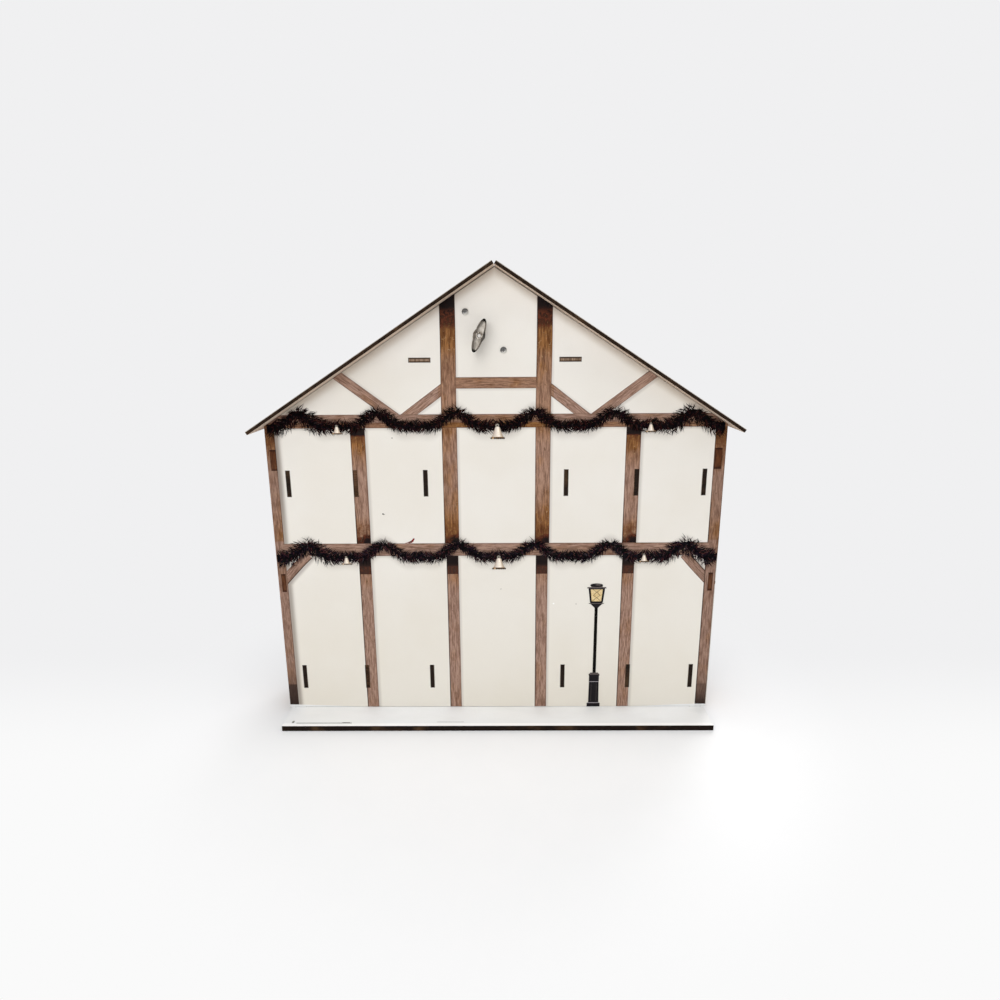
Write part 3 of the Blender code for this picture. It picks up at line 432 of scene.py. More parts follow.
def buildTimberBar():
    # One printed timber, laid over what came before it: a straight bar at any angle.
    # Chains the mask, the place along and across the bar, the distance to its long edges, the pale
    # line round it and its soft shade, taken at a shifted place, so that all bars share one pattern.
    tree, maker, entry, finish = newGroup(
        "timberBar",
        {"X": 0.0, "Z": 0.0, "Centre X": 0.0, "Centre Z": 0.0, "Angle": 0.0, "Half Length": 0.1,
         "Half Width": 0.005, "Number": 0.0, "Soft": 0.0002, "Shade X": 0.0, "Shade Z": 0.0,
         "Mask": 0.0, "Grain": None, "Edge": 0.0, "Halo": 0.0, "Shade": 0.0},
        {"Mask": "Float", "Grain": "Vector", "Edge": "Float", "Halo": "Float", "Shade": "Float"},
    )
    cosine = maker.math("COSINE", entry["Angle"])
    sine = maker.math("SINE", entry["Angle"])

    def within(placeX, placeZ):
        # Places along and across the bar, and how far inside its long edges and its outline.
        x = placeX - entry["Centre X"]
        z = placeZ - entry["Centre Z"]
        along = x * cosine + z * sine
        across = z * cosine - x * sine
        inLength = entry["Half Length"] - abs(along)
        inWidth = entry["Half Width"] - abs(across)
        return along, across, inWidth, maker.least(inLength, inWidth)

    along, across, inWidth, inside = within(entry["X"], entry["Z"])
    shaded = within(entry["Shade X"], entry["Shade Z"])[3]
    mask = maker.math("ADD", inside / entry["Soft"], 0.5, clamp=True)
    grain = maker.combine(along, across, entry["Number"])
    finish({
        "Mask": maker.most(entry["Mask"], mask),
        "Grain": maker.blendVector(mask, entry["Grain"], grain),
        "Edge": maker.blend(mask, entry["Edge"], inWidth),
        "Halo": maker.most(entry["Halo"], maker.rise(inside, -0.0013, -0.0002)),
        "Shade": maker.most(entry["Shade"], maker.rise(shaded, -0.0022, 0.0014)),
    })
    return tree


def buildTimberWood():
    # The printed timbers' wood: streaky grain along each bar, knots, dark outlines and aged ends.
    tree, maker, entry, finish = newGroup(
        "timberWood",
        {"Grain": None, "Edge": 0.0, "Age": 0.0, "Warmth": 0.0, "Side": 0.0},
        {"Color": "Color"},
    )
    side = maker.combine(0.0, 0.0, entry["Side"])
    place = maker.vector("ADD", entry["Grain"], side)
    streaks = maker.noise(maker.scaled(place, (1.0, 9.0, 1.0)), 105, 5.0, 0.62)
    fine = maker.noise(maker.scaled(place, (1.0, 12.0, 1.0)), 380, 3.0, 0.65)
    cloud = maker.noise(maker.scaled(place, (1.0, 2.0, 1.0)), 42, 3.0, 0.55)
    knots = maker.rise(maker.noise(maker.scaled(place, (1.0, 2.2, 1.0)), 170, 2.0, 0.5), 0.66, 0.76)
    mauve = maker.mix(maker.rise(streaks, 0.32, 0.68), linear((122, 92, 78)), linear((178, 146, 129)))
    warm = maker.mix(maker.rise(streaks, 0.32, 0.68), linear((90, 53, 24)), linear((161, 112, 66)))
    lean = maker.math("ADD", entry["Warmth"], maker.rise(cloud, 0.5, 0.72) * 0.4, clamp=True)
    colour = maker.mix(lean, mauve, warm)
    colour = maker.mix(maker.rise(fine, 0.5, 0.72) * 0.45, colour, linear((96, 66, 50)))
    colour = maker.mix(knots * 0.55, colour, linear((74, 46, 30)))
    mottle = maker.noise(place, 340, 3.0, 0.7)
    pale = maker.rise(mottle, 0.58, 0.70) * (lean * 0.5)
    colour = maker.mix(pale, colour, linear((206, 172, 130)))
    agedTone = maker.mix(maker.rise(mottle, 0.40, 0.62), linear((36, 17, 11)), linear((94, 47, 27)))
    wobble = (mottle - 0.5) * maker.math("CEIL", entry["Age"])
    aged = entry["Age"] + wobble * 0.9
    colour = maker.mix(maker.rise(aged, 0.05, 0.50), colour, agedTone)
    colour = maker.mix(maker.rise(aged, 0.62, 0.86), colour, linear((22, 12, 12)))
    ragged = (fine + 0.2) * 0.0013
    outline = maker.fall(entry["Edge"], 0.0, ragged)
    colour = maker.mix(outline * 0.62, colour, linear((64, 42, 34)))
    finish({"Color": colour})
    return tree


groups = {
    "edge": buildBurntEdge(),
    "raw": buildRawBoard(),
    "coat": buildPrintedCoat(),
    "bar": buildTimberBar(),
    "wood": buildTimberWood(),
}
tones = {
    "printEdge": linear((54, 39, 28)),
    "tabEnd": linear((46, 33, 24)),
    "warmEnd": linear((122, 88, 64)),
    "deckEnd": linear((182, 154, 130)),
    "raw": linear((196, 158, 116)),
    "cream": linear((235, 231, 225)),
    "snow": linear((240, 241, 242)),
    "underRoof": linear((206, 187, 170)),
    "baseEdge": linear((38, 26, 20)),
    "lowEnd": linear((74, 50, 30)),
    "coatRim": linear((206, 198, 188)),
}


def gableHeight(x):
    # Height of the roof line above a distance from the middle.
    return house["ridge"] - (house["ridge"] - house["eave"]) * x / house["halfWidth"]


def barBetween(start, end, halfWidth):
    # (centre x, centre z, angle, half length, half width) of a bar between two points.
    (x0, z0), (x1, z1) = start, end
    length = math.hypot(x1 - x0, z1 - z0)
    return (x0 + x1) / 2, (z0 + z1) / 2, math.atan2(z1 - z0, x1 - x0), length / 2, halfWidth


def postBar(centre, halfWidth, low, high):
    return barBetween((centre, low), (centre, high), halfWidth)


def beamBar(reach, low, high):
    return barBetween((-reach, (low + high) / 2), (reach, (low + high) / 2), (high - low) / 2)


def braceBars():
    # The slanting timbers of the gable.
    half = timber["braceHalf"]
    tie = timber["tieBeam"][1]
    roofEnd = barBetween((0.0833, tie - 0.0030), (0.1380, tie + 0.0380), half)
    postEnd = barBetween((timber["gable"][0], tie + 0.0247), (0.0789, tie - 0.0050), half)
    return roofEnd, postEnd


def cornerBar():
    # The short slanting timber under the middle beam.
    mid = timber["midBeam"][0]
    return barBetween((0.1658, mid + 0.0010), (0.1938, mid - 0.0290), timber["braceHalf"])


def backBars():
    # The timbers of the back, the ones in front last. Each is laid out for both sides at once.
    floor = house["baseTop"]
    mid, tie = timber["midBeam"], timber["tieBeam"]
    roofEnd, postEnd = braceBars()
    return [
        roofEnd,
        postEnd,
        cornerBar(),
        postBar(*timber["outer"], floor - 0.01, tie[0]),
        postBar(*timber["second"], mid[1] - 0.001, tie[0]),
        postBar(*timber["secondLow"], floor - 0.01, mid[0]),
        postBar(*timber["centre"], floor - 0.01, mid[0]),
        beamBar(0.04, *timber["collar"]),
        postBar(*timber["gable"], mid[1] - 0.001, gableHeight(0)),
        beamBar(house["halfWidth"] + 0.01, *tie),
        beamBar(0.187, *mid),
    ]


def frontBars():
    # The front's timbers: corner posts on the legs, the tie beam and the gable.
    floor = house["baseTop"]
    tie = timber["frontTie"]
    half = timber["braceHalf"]
    gable = timber["gable"]
    return [
        barBetween((0.0800, tie[1] - 0.002), (0.1330, gableHeight(0.1330) + 0.009), half),
        barBetween((gable[0] + 0.002, tie[1] + 0.030), (0.0790, tie[1] - 0.004), half),
        postBar(*timber["frontPost"], floor - 0.01, tie[0]),
        beamBar(0.04, *timber["frontCollar"]),
        postBar(*gable, tie[0], gableHeight(0)),
        beamBar(house["halfWidth"] + 0.01, *tie),
    ]


def byHeight(maker, z, stops):
    # A value that follows the height, straight between (height, value) stops.
    low, high = stops[0][0], stops[-1][0]
    share = maker.math("DIVIDE", z - low, high - low, clamp=True)
    return maker.ramp(share, [((height - low) / (high - low), value) for height, value in stops])


def mirroredPlace(maker, x, z, corners):
    # The distance from the middle that timbers are laid out by. The print sits a little off it: its
    # gable and centre posts to one side, and with corners its two corner posts each by its own step.
    shift = (1.0 + maker.rise(z, 0.280, 0.345)) * timber["gableShift"]
    moved = x - shift * maker.fall(abs(x), 0.046, 0.078)
    if corners:
        leftward = maker.rise(-x, 0.158, 0.172) * timber["leftStep"]
        lower = timber["rightStep"] - maker.rise(z, 0.14, 0.17) * timber["rightRelief"]
        moved = moved + (leftward + maker.rise(x, 0.158, 0.172) * lower)
    return abs(moved)


def layBars(maker, bars, mirrored, x, z):
    # Lays the bars over one another; returns what they chain: mask, grain, edge, halo and shade.
    chain = {"Mask": 0.0, "Grain": (0, 0, 0), "Edge": 0.0, "Halo": 0.0, "Shade": 0.0}
    shared = {
        "X": mirrored, "Z": z, "Soft": timber["softEdge"],
        "Shade X": abs(x - timber["shadeRight"]), "Shade Z": z + timber["shadeDown"],
    }
    for number, (centreX, centreZ, angle, halfLength, halfWidth) in enumerate(bars):
        outputs = maker.placed(groups["bar"], {
            "Centre X": centreX, "Centre Z": centreZ, "Angle": angle, "Half Length": halfLength,
            "Half Width": halfWidth, "Number": number * 1.3, **shared, **chain,
        })
        chain = {name: outputs[name] for name in chain}
    return chain


def timberZones(mirrored, z, tie):
    # Where each kind of post stands, and what lies under the tie beam.
    outer = mirrored > timber["outerFrom"]
    return {
        "gable": mirrored < timber["gableTo"],
        "outer": outer,
        "second": outer * (mirrored < timber["secondTo"]),
        "corner": mirrored > timber["cornerFrom"],
        "underTie": z < tie[0],
    }


def postAge(maker, z, zones, tie):
    # Posts are near black under the roof and the tie beam; the corner posts turn browner near it.
    age = byHeight(maker, z, profiles["gableAge"]) * zones["gable"]
    black = maker.most(maker.rise(z, tie[0] - 0.0086, tie[0] - 0.0046),
                       maker.rise(z, tie[0] - 0.0190, tie[0] - 0.0080) * 0.26)
    age = maker.most(age, black * zones["second"] * zones["underTie"])
    brown = maker.rise(z, 0.232, 0.258) * zones["corner"]
    return maker.most(age, brown * zones["underTie"] * 0.24)


def postWarmth(maker, z, zones):
    gable = byHeight(maker, z, profiles["gableWarmth"]) * zones["gable"]
    outer = byHeight(maker, z, profiles["outerWarmth"]) * zones["outer"]
    return maker.most(gable, outer * zones["underTie"])


def nearMiddleBeam(maker, z, mirrored, rightward, mid):
    # Posts are dark just above and below the middle beam. Returns both darknesses, where posts stand
    # below it, and their glow and stain there.
    over = z - mid[1]
    above = (over > 0.0) * (mirrored < 0.175)
    near = maker.fall(over, 0.001, 0.013) * (0.50 + maker.rise(rightward, -0.003, 0.003) * 0.45)
    darkAbove = maker.most(near, maker.fall(over, 0.008, 0.030) * 0.27) * above
    under = mid[0] - z
    below = (under > 0.0) * (mirrored < 0.150)
    collar = (under < 0.0172) * below
    darkBelow = collar * (1.0 - maker.rise(under, 0.0065, 0.0125) * 0.50)
    glow = maker.fall(under, 0.020, 0.038) * below * 0.25
    stain = collar * maker.rise(under, 0.006, 0.012) * 0.55
    return darkAbove, darkBelow, below, glow, stain


def outlinedWood(maker, wood, edge, z, rightward, underTie, mid):
    # Posts have a dark left outline, strongest low down and near the ridge.
    low, high = mid or (0.0, 0.0)
    outline = maker.fall(edge, 0.0004, 0.0013) * maker.rise(-rightward, 0.001, 0.003)
    upright = maker.most(z < low, (z > high) * underTie)
    upright = maker.most(upright, z > 0.312)
    strength = byHeight(maker, z, profiles["outline"])
    return maker.mix(outline * upright * strength, wood, linear((38, 25, 20)))


def cornerWood(maker, wood, x, z, corner):
    # The corner posts are a little deeper in tone, and dark at the foot, the right one less so.
    wood = maker.mix(corner * 0.35, wood, maker.tinted(wood, linear((200, 196, 192))))
    bright = (x > 0.0) * (maker.rise(z, 0.007, 0.024) * 0.34)
    foot = byHeight(maker, z, profiles["foot"]) * (1.0 - bright)
    return maker.mix(foot * corner, wood, linear((40, 28, 25)))


def plasterTone(maker, chain, x, z, mirrored, leftShade):
    # Cream plaster: deeper low down, pale round the timbers and shaded at their lower right.
    plaster = maker.mix(maker.rise(z, 0.02, 0.20) * 0.6, linear((230, 225, 215)), tones["cream"])
    plaster = maker.mix(chain["Halo"] * 0.5, plaster, linear((246, 239, 232)))
    depth = 0.36 + (mirrored > 0.150) * 0.14
    plaster = maker.mix(chain["Shade"] * depth, plaster, linear((128, 118, 108)))
    if leftShade:
        soft = maker.fall(x, -0.1880, -0.1795) * (0.45 + maker.rise(z, 0.16, 0.22) * 0.25)
        plaster = maker.mix(soft, plaster, linear((112, 94, 82)))
    # Painted light: the plaster turns paler towards the ridge, against the shade of the roof
    plaster = maker.mix(maker.rise(z, 0.310, 0.352) * 0.35, plaster, linear((253, 251, 248)))
    # Painted soft tan shade of the roof and a thin dark joint under the roof, strongest by the ridge
    slope = (house["ridge"] - house["eave"]) / house["halfWidth"]
    under = (house["ridge"] - abs(x) * slope - z) * math.cos(math.atan(slope))
    paintedRoofShade = maker.fall(under, 0.0005, 0.0085)
    plaster = maker.mix(paintedRoofShade * 0.55, plaster, linear((178, 162, 142)))
    joint = maker.fall(under, 0.0006, 0.0013) * (0.72 - maker.rise(mirrored, 0.02, 0.10) * 0.58)
    return maker.mix(joint, plaster, linear((72, 54, 42)))


def timberPrint(maker, place, bars, tie, mid=None):
    # The half-timbered picture, with the middle beam's marks when that beam is given. Returns the
    # timbers' mask, the wood's and the plaster's colours, x, z and the mirrored distance.
    x, _, z = maker.separate(place)
    mirrored = mirroredPlace(maker, x, z, mid)
    chain = layBars(maker, bars, mirrored, x, z)
    zones = timberZones(mirrored, z, tie)
    side = maker.sign(x)
    rightward = -(maker.separate(chain["Grain"])[1] * side)
    age = postAge(maker, z, zones, tie)
    warm = postWarmth(maker, z, zones)
    if mid:
        darkAbove, darkBelow, below, glow, stain = nearMiddleBeam(maker, z, mirrored, rightward, mid)
        age = maker.most(maker.most(age, darkAbove), darkBelow)
        warm = maker.most(warm, glow)
    ripe = age * 1.4
    if mid:
        ripe = ripe * (1.0 - below * 0.7)
    warmth = maker.most(warm, ripe, clamp=True)
    beamFoot = (z > tie[0]) * (z < tie[0] + 0.0045)
    warmth = maker.math("ADD", warmth, beamFoot * 0.55, clamp=True)
    wood = maker.placed(groups["wood"], {
        "Grain": chain["Grain"], "Edge": chain["Edge"], "Age": age, "Warmth": warmth, "Side": side * 3.7,
    })["Color"]
    if mid:
        wood = maker.mix(stain, wood, linear((66, 45, 37)))
    wood = outlinedWood(maker, wood, chain["Edge"], z, rightward, zones["underTie"], mid)
    wood = cornerWood(maker, wood, x, z, zones["corner"])
    return chain["Mask"], wood, plasterTone(maker, chain, x, z, mirrored, mid), x, z, mirrored


def garlandLine(maker, x, height):
    # Height of a garland above each x; it sags a little more where it thickens near its ends.
    turn = x * (2 * math.pi / garland["wave"])
    sharp = maker.math("COSINE", turn * 2.0) * garland["sharpness"]
    wave = maker.math("COSINE", turn) - sharp
    ends = maker.rise(abs(x), garland["endStart"], garland["endFull"])
    level = height - ends * garland["endDrop"]
    return level - wave * garland["swing"]


def garlandShade(maker, x, z, height):
    # The soft shade printed round a garland, deeper below it.
    line = garlandLine(maker, x, height)
    above = z - line
    lower = maker.rise(above, -0.0140, -0.0045)
    upper = maker.fall(above, 0.004, 0.0115)
    return lower * upper


def printedBoard(name, facing, picture, inner, across, edgeTone="printEdge", coatTop=None):
    # A board with a printed face towards facing, a plain inner face and burnt edges. With the printed
    # face's distance along facing given, the white coat's own edge shows as a pale line.
    material, maker, place, normal = newMaterial(name)
    outward = maker.vector("DOT_PRODUCT", normal, facing)
    edge = maker.placed(groups["edge"], {"Vector": place, "Across": across, "Tone": tones[edgeTone]})
    raw = inner(maker, place)
    printed = picture(maker, place)
    coat = maker.placed(groups["coat"], {"Vector": place, "Color": printed})
    isPrint = outward > 0.6
    isInner = outward < -0.6
    colour = edge["Color"]
    if coatTop is not None:
        depth = coatTop - maker.vector("DOT_PRODUCT", place, facing)
        rim = maker.fall(depth, 0.00028, 0.00052)
        colour = maker.mix(rim * 0.85, colour, tones["coatRim"])
    colour = maker.mix(isInner, colour, raw["Color"])
    colour = maker.mix(isPrint, colour, coat["Color"])
    roughness = maker.blend(isPrint, 0.82, coat["Roughness"])
    height = maker.blend(isPrint, maker.blend(isInner, edge["Height"], raw["Height"]),
                         coat["Height"] * 0.25)
    finishMaterial(maker, colour, roughness, height, bump=0.35, distance=0.00012, Specular_IOR_Level=0.09)
    return material


def rawInner(maker, place):
    return maker.placed(groups["raw"], {"Vector": place, "Tone": tones["raw"]})


def printedInner(tone):
    def inner(maker, place):
        return {"Color": maker.placed(groups["coat"], {"Vector": place, "Color": tone})["Color"],
                "Height": maker.noise(place, 420, 2.0, 0.5)}

    return inner


def pegPlates(maker, wood, x, z):
    # Peg plates where the corner braces and the eaves meet the outer posts.
    for centre, half, low, high in timber["pegs"]:
        reach = (high - low) / 2
        tall = abs(z - (low + high) / 2)
        inside = maker.least(half - abs(abs(x) - centre), reach - tall)
        plate = maker.rise(inside, -0.0002, 0.0003)
        ends = maker.most(maker.rise(tall, reach - 0.0028, reach - 0.0004),
                          maker.fall(inside, 0.0001, 0.0008))
        tone = maker.mix(ends * 0.8, linear((168, 136, 106)), linear((80, 54, 42)))
        wood = maker.mix(plate, wood, maker.tinted(wood, tone))
    return wood


def footDrift(maker, colour, z, mirrored):
    # A snowdrift printed along the foot, deeper at the corners.
    drift = maker.rise(mirrored, 0.120, 0.190) * 0.0024
    snow = maker.fall(z - house["baseTop"], drift, drift + 0.0004)
    return maker.mix(snow * 0.9, colour, tones["snow"])


def slotScorch(maker, colour, x, z):
    # The laser's scorch round the slots that the tabs come through.
    low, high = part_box("attic_deck")
    halfSlot, tallSlot = timber["slotHalf"]
    slots = [(wall, height, halfSlot, tallSlot) for wall in timber["slotWalls"]
             for height in timber["slotHeights"]]
    deckX, deckHalf = timber["deckSlot"]
    slots.append((deckX, (low[2] + high[2]) / 2, deckHalf, halfSlot))
    scorch = 0.0
    for centreX, centreZ, halfX, halfZ in slots:
        inside = maker.least(halfX - abs(abs(x) - centreX), halfZ - abs(z - centreZ))
        scorch = maker.most(scorch, maker.rise(inside, -0.00025, 0.0002))
    return maker.mix(scorch * 0.88, colour, linear((52, 38, 30)))


def shadedPrint(maker, mask, wood, plaster, shade, onPlaster, onWood):
    # Timbers and plaster together, both darker in the shade of the garlands.
    plaster = maker.mix(shade * onPlaster, plaster, linear((150, 140, 132)))
    wood = maker.mix(shade * onWood, wood, linear((44, 32, 26)))
    return maker.mix(mask, plaster, wood)


def backPicture(maker, place):
    mask, wood, plaster, x, z, mirrored = timberPrint(
        maker, place, backBars(), timber["tieBeam"], timber["midBeam"])
    wood = pegPlates(maker, wood, x, z)
    shade = maker.most(garlandShade(maker, x, z, garland["upperHeight"]),
                       garlandShade(maker, x, z, garland["lowerHeight"]))
    colour = shadedPrint(maker, mask, wood, plaster, shade, 0.36, 0.26)
    return slotScorch(maker, footDrift(maker, colour, z, mirrored), x, z)


def frontPicture(maker, place):
    mask, wood, plaster, x, z, _ = timberPrint(maker, place, frontBars(), timber["frontTie"])
    shade = garlandShade(maker, x, z, garland["frontHeight"])
    return shadedPrint(maker, mask, wood, plaster, shade, 0.42, 0.45)


def snowPicture(maker, place):
    # A white print with faint grey drifts and tiny sparkles as painted glints.
    drift = maker.noise(maker.scaled(place, (1.0, 2.5, 1.0)), 26, 3.0, 0.55)
    colour = maker.mix(maker.rise(drift, 0.4, 0.7) * 0.5, tones["snow"], linear((233, 234, 235)))
    # Painted glints: tiny paler specks of sparkle
    paintedGlint = maker.rise(maker.noise(place, 1300, 1.0, 0.5), 0.70, 0.78)
    return maker.mix(paintedGlint * 0.6, colour, linear((250, 250, 250)))


def basePicture(maker, place):
    # Snow with a whiter rim at the base's long edges.
    colour = snowPicture(maker, place)
    rim = maker.rise(abs(maker.separate(place)[1]), 0.0568, 0.0573)
    return maker.mix(rim, colour, linear((252, 252, 252)))


def plainBoard(name, facing, endTone="tabEnd", middle=None, lowTone=None):
    # Unprinted board: tan faces and burnt edges; with a middle given, only the edges' rims are dark,
    # and with a low tone the upper tabs darken towards their lower ends.
    material, maker, place, normal = newMaterial(name)
    outward = abs(maker.vector("DOT_PRODUCT", normal, facing))
    tone = tones[endTone]
    if lowTone is not None:
        tone = maker.mix(maker.rise(maker.separate(place)[2], 0.211, 0.229), tones[lowTone], tone)
    edge = maker.placed(groups["edge"], {"Vector": place, "Across": facing, "Tone": tone})
    raw = rawInner(maker, place)
    isFace = outward > 0.6
    colour = edge["Color"]
    if middle is not None:
        away = abs(maker.vector("DOT_PRODUCT", place, facing) - middle)
        colour = maker.mix(maker.rise(away, 0.0006, 0.0012), colour, linear((62, 47, 38)))
    colour = maker.mix(isFace, colour, raw["Color"])
    height = maker.blend(isFace, edge["Height"], raw["Height"])
    finishMaterial(maker, colour, 0.82, height, bump=0.4, distance=0.00012, Specular_IOR_Level=0.15)
    return material


def dress(material, *names):
    for name in names:
        for slot in nodes[name].material_slots:
            slot.material = material


def dressBoards():
    rise = house["ridge"] - house["eave"]
    slope = math.atan2(rise, house["halfWidth"])
    dress(printedBoard("printedBack", (0, -1, 0), backPicture, rawInner, (0, 1, 0)), "back_panel")
    dress(printedBoard("printedFront", (0, 1, 0), frontPicture, rawInner, (0, 1, 0)), "front_frame")
    dress(printedBoard("printedBase", (0, 0, 1), basePicture, rawInner, (0, 0, 1), "baseEdge"),
          "base_board")
    for name, side in (("roof_left", -1), ("roof_right", 1)):
        facing = (side * math.sin(slope), 0, math.cos(slope))
        across = tuple(abs(value) for value in facing)
        inner = printedInner(tones["underRoof"])
        node = nodes[name]
        coatTop = max((node.matrix_world @ vert.co).dot(Vector(facing)) for vert in node.data.vertices)
        dress(printedBoard(f"printed_{name}", facing, snowPicture, inner, across, coatTop=coatTop), name)
    uprights = ["side_wall_left", "side_wall_right"] + [f"divider_{n}" for n in range(1, 5)]
    shelves = ["shelf_1_left", "shelf_1_right", "shelf_2", "shelf_3", "shelf_4", "loft_floor"]
    dress(plainBoard("plainUpright", (1, 0, 0)), *uprights)
    dress(plainBoard("warmUpright", (1, 0, 0), "warmEnd", lowTone="lowEnd"), "divider_1")
    low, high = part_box("attic_deck")
    dress(plainBoard("plainDeck", (0, 0, 1), "deckEnd", (low[2] + high[2]) / 2), "attic_deck")
    dress(plainBoard("plainShelf", (0, 0, 1)), *shelves)


dressBoards()
print("boards dressed")


def linkObject(name, data):
    obj = bpy.data.objects.new(name, data)
    bpy.context.scene.collection.objects.link(obj)
    return obj


def meshFrom(work, name):
    # Ends a bmesh as a mesh.
    mesh = bpy.data.meshes.new(name)
    work.to_mesh(mesh)
    work.free()
    return mesh


def takeMesh(carrier):
    # The mesh that a curve or text object makes; the object itself goes.
    bpy.context.view_layer.update()
    graph = bpy.context.evaluated_depsgraph_get()
    mesh = bpy.data.meshes.new_from_object(carrier.evaluated_get(graph))
    bpy.data.objects.remove(carrier)
    return mesh


def newPiece(name, mesh, body, slot, *inkNames):
    # A finished mesh as a piece that rides on a body, in inks by name.
    obj = linkObject(name, mesh)
    for ink in inkNames:
        mesh.materials.append(inks[ink])
    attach(obj, body)


class Plates:
    # Thin flat shapes laid on the back (facing -1) or the front (facing 1) of the house.

    def __init__(self, facing, lift=0.0, thickness=0.00006):
        self.work = bmesh.new()
        self.facing = facing
        self.face = facing * (house["frontFace"] + lift)
        self.thickness = thickness

    def add(self, outline, material=0, raised=0.0):
        # A closed plate from an outline of (x, z) points; raised lifts it off the one below.
        low = self.face + self.facing * raised
        high = low + self.facing * self.thickness
        rings = [[self.work.verts.new((x, y, z)) for x, z in outline] for y in (low, high)]
        faces = [self.work.faces.new(rings[0]), self.work.faces.new(rings[1])]
        count = len(outline)
        for i in range(count):
            j = (i + 1) % count
            faces.append(self.work.faces.new((rings[0][i], rings[0][j], rings[1][j], rings[1][i])))
        for face in faces:
            face.material_index = material

    def box(self, x, z, width, height, material=0, raised=0.0):
        self.add([(x - width / 2, z - height / 2), (x + width / 2, z - height / 2),
                  (x + width / 2, z + height / 2), (x - width / 2, z + height / 2)], material, raised)

    def disc(self, x, z, radius, material=0, raised=0.0, sides=24, squash=1.0):
        turns = [2 * math.pi * i / sides for i in range(sides)]
        self.add([(x + radius * math.cos(t), z + radius * squash * math.sin(t)) for t in turns], material,
                 raised)

    def ring(self, x, z, inner, outer, material=0, raised=0.0, sides=28, squash=1.0):
        for i in range(sides):
            turns = (2 * math.pi * i / sides, 2 * math.pi * (i + 1) / sides)
            spots = [(inner, turns[0]), (outer, turns[0]), (outer, turns[1]), (inner, turns[1])]
            self.add([(x + r * math.cos(t), z + r * squash * math.sin(t)) for r, t in spots], material,
                     raised)

    def mesh(self, name):
        bmesh.ops.recalc_face_normals(self.work, faces=self.work.faces)
        return meshFrom(self.work, name)


def inkMaterial(name, colour, second, scale=500.0, amount=0.5, roughness=0.5, specular=0.2):
    # Printed ink of one colour that another mottles.
    material, maker, place, _ = newMaterial(name)
    mottle = maker.rise(maker.noise(place, scale, 3.0, 0.6), 0.4, 0.66)
    tone = maker.mix(mottle * amount, linear(colour), linear(second))
    coat = maker.placed(groups["coat"], {"Vector": place, "Color": tone})
    rough = coat["Roughness"] + (roughness - 0.52)
    finishMaterial(maker, coat["Color"], rough, coat["Height"], bump=0.1, distance=0.00005,
                   Specular_IOR_Level=specular)
    return material


def needleMaterial():
    # Fir needles as printed: near black, some green, some plum and brown, by each needle's tone.
    material, maker, place, _ = newMaterial("printedNeedles")
    tone = maker.outputs(maker.add("ShaderNodeAttribute", attribute_name="tone"))["Fac"]
    colour = maker.ramp(tone, [
        (0.0, linear((6, 4, 5))), (0.42, linear((11, 9, 12))), (0.60, linear((20, 25, 20))),
        (0.72, linear((28, 21, 36))), (0.84, linear((48, 22, 28))), (0.94, linear((76, 44, 42))),
        (1.0, linear((62, 62, 66))),
    ])
    streak = maker.noise(place, 900, 2.0, 0.5)
    colour = maker.mix(maker.rise(streak, 0.5, 0.8) * 0.25, colour, linear((32, 28, 32)))
    # The upper garland is printed a little darker and browner than the lower one
    upper = maker.separate(place)[2] > 0.22
    colour = maker.mix(upper, colour, maker.tinted(colour, linear((216, 196, 178))))
    finishMaterial(maker, colour, 0.6 + streak * 0.2, streak,
                   bump=0.1, distance=0.00005, Specular_IOR_Level=0.01)
    return material


def newNeedleTree():
    # An empty node tree that takes a curve and the needles' values.
    tree = bpy.data.node_groups.new("strewNeedles", "GeometryNodeTree")
    face = tree.interface
    face.new_socket("Geometry", in_out="INPUT", socket_type="NodeSocketGeometry")
    defaults = {
        "Count": 100, "Seed": 1, "Length": 0.006, "Width": 0.0005, "Spread": 0.004, "Layer": 0.0001,
        "Facing": -1.0, "Waves": 0.0, "Phase": 0.25,
    }
    for label, value in defaults.items():
        kind = "NodeSocketInt" if isinstance(value, int) else "NodeSocketFloat"
        face.new_socket(label, in_out="INPUT", socket_type=kind).default_value = value
    face.new_socket("Geometry", in_out="OUTPUT", socket_type="NodeSocketGeometry")
    maker = Nodes(tree)
    return tree, maker, maker.outputs(maker.add("NodeGroupInput"))


def drawValue(maker, seed, low, high, offset):
    # A value for each point, from low to high, that the seed and an offset fix.
    node = maker.add("FunctionNodeRandomValue", {"Seed": seed + float(offset)}, data_type="FLOAT")
    for socket, value in zip([socket for socket in node.inputs if socket.enabled], (low, high)):
        maker.feed(socket, value)
    return Value(maker, [socket for socket in node.outputs if socket.enabled][0])


def needlePoints(maker, entry, share):
    # Points strewn along the curve, each with its spot, the curve's run there and its share of it.
    points = maker.add("GeometryNodePoints", {"Count": entry["Count"]})
    sample = maker.add("GeometryNodeSampleCurve", {"Curves": entry["Geometry"], "Factor": share},
                       mode="FACTOR", use_all_curves=True)
    captured = maker.add("GeometryNodeCaptureAttribute", {"Geometry": points.outputs[0]}, domain="POINT")
    for kind, label in (("VECTOR", "Spot"), ("VECTOR", "Run"), ("FLOAT", "Share")):
        captured.capture_items.new(kind, label)
    maker.feed(captured.inputs["Spot"], sample.outputs["Position"])
    maker.feed(captured.inputs["Run"], sample.outputs["Tangent"])
    maker.feed(captured.inputs["Share"], share)
    return maker.outputs(captured)


def needleShape(maker, entry):
    # One flat needle that lies along x.
    needle = maker.add("GeometryNodeMeshCone", {
        "Vertices": 3, "Radius Top": 0.0, "Radius Bottom": entry["Width"], "Depth": entry["Length"]})
    laid = maker.add("GeometryNodeTransform", {
        "Geometry": needle.outputs["Mesh"], "Rotation": (0.0, math.pi / 2, 0.0)})
    return maker.add("GeometryNodeTransform", {"Geometry": laid.outputs[0], "Scale": (1.0, 0.12, 1.0)})


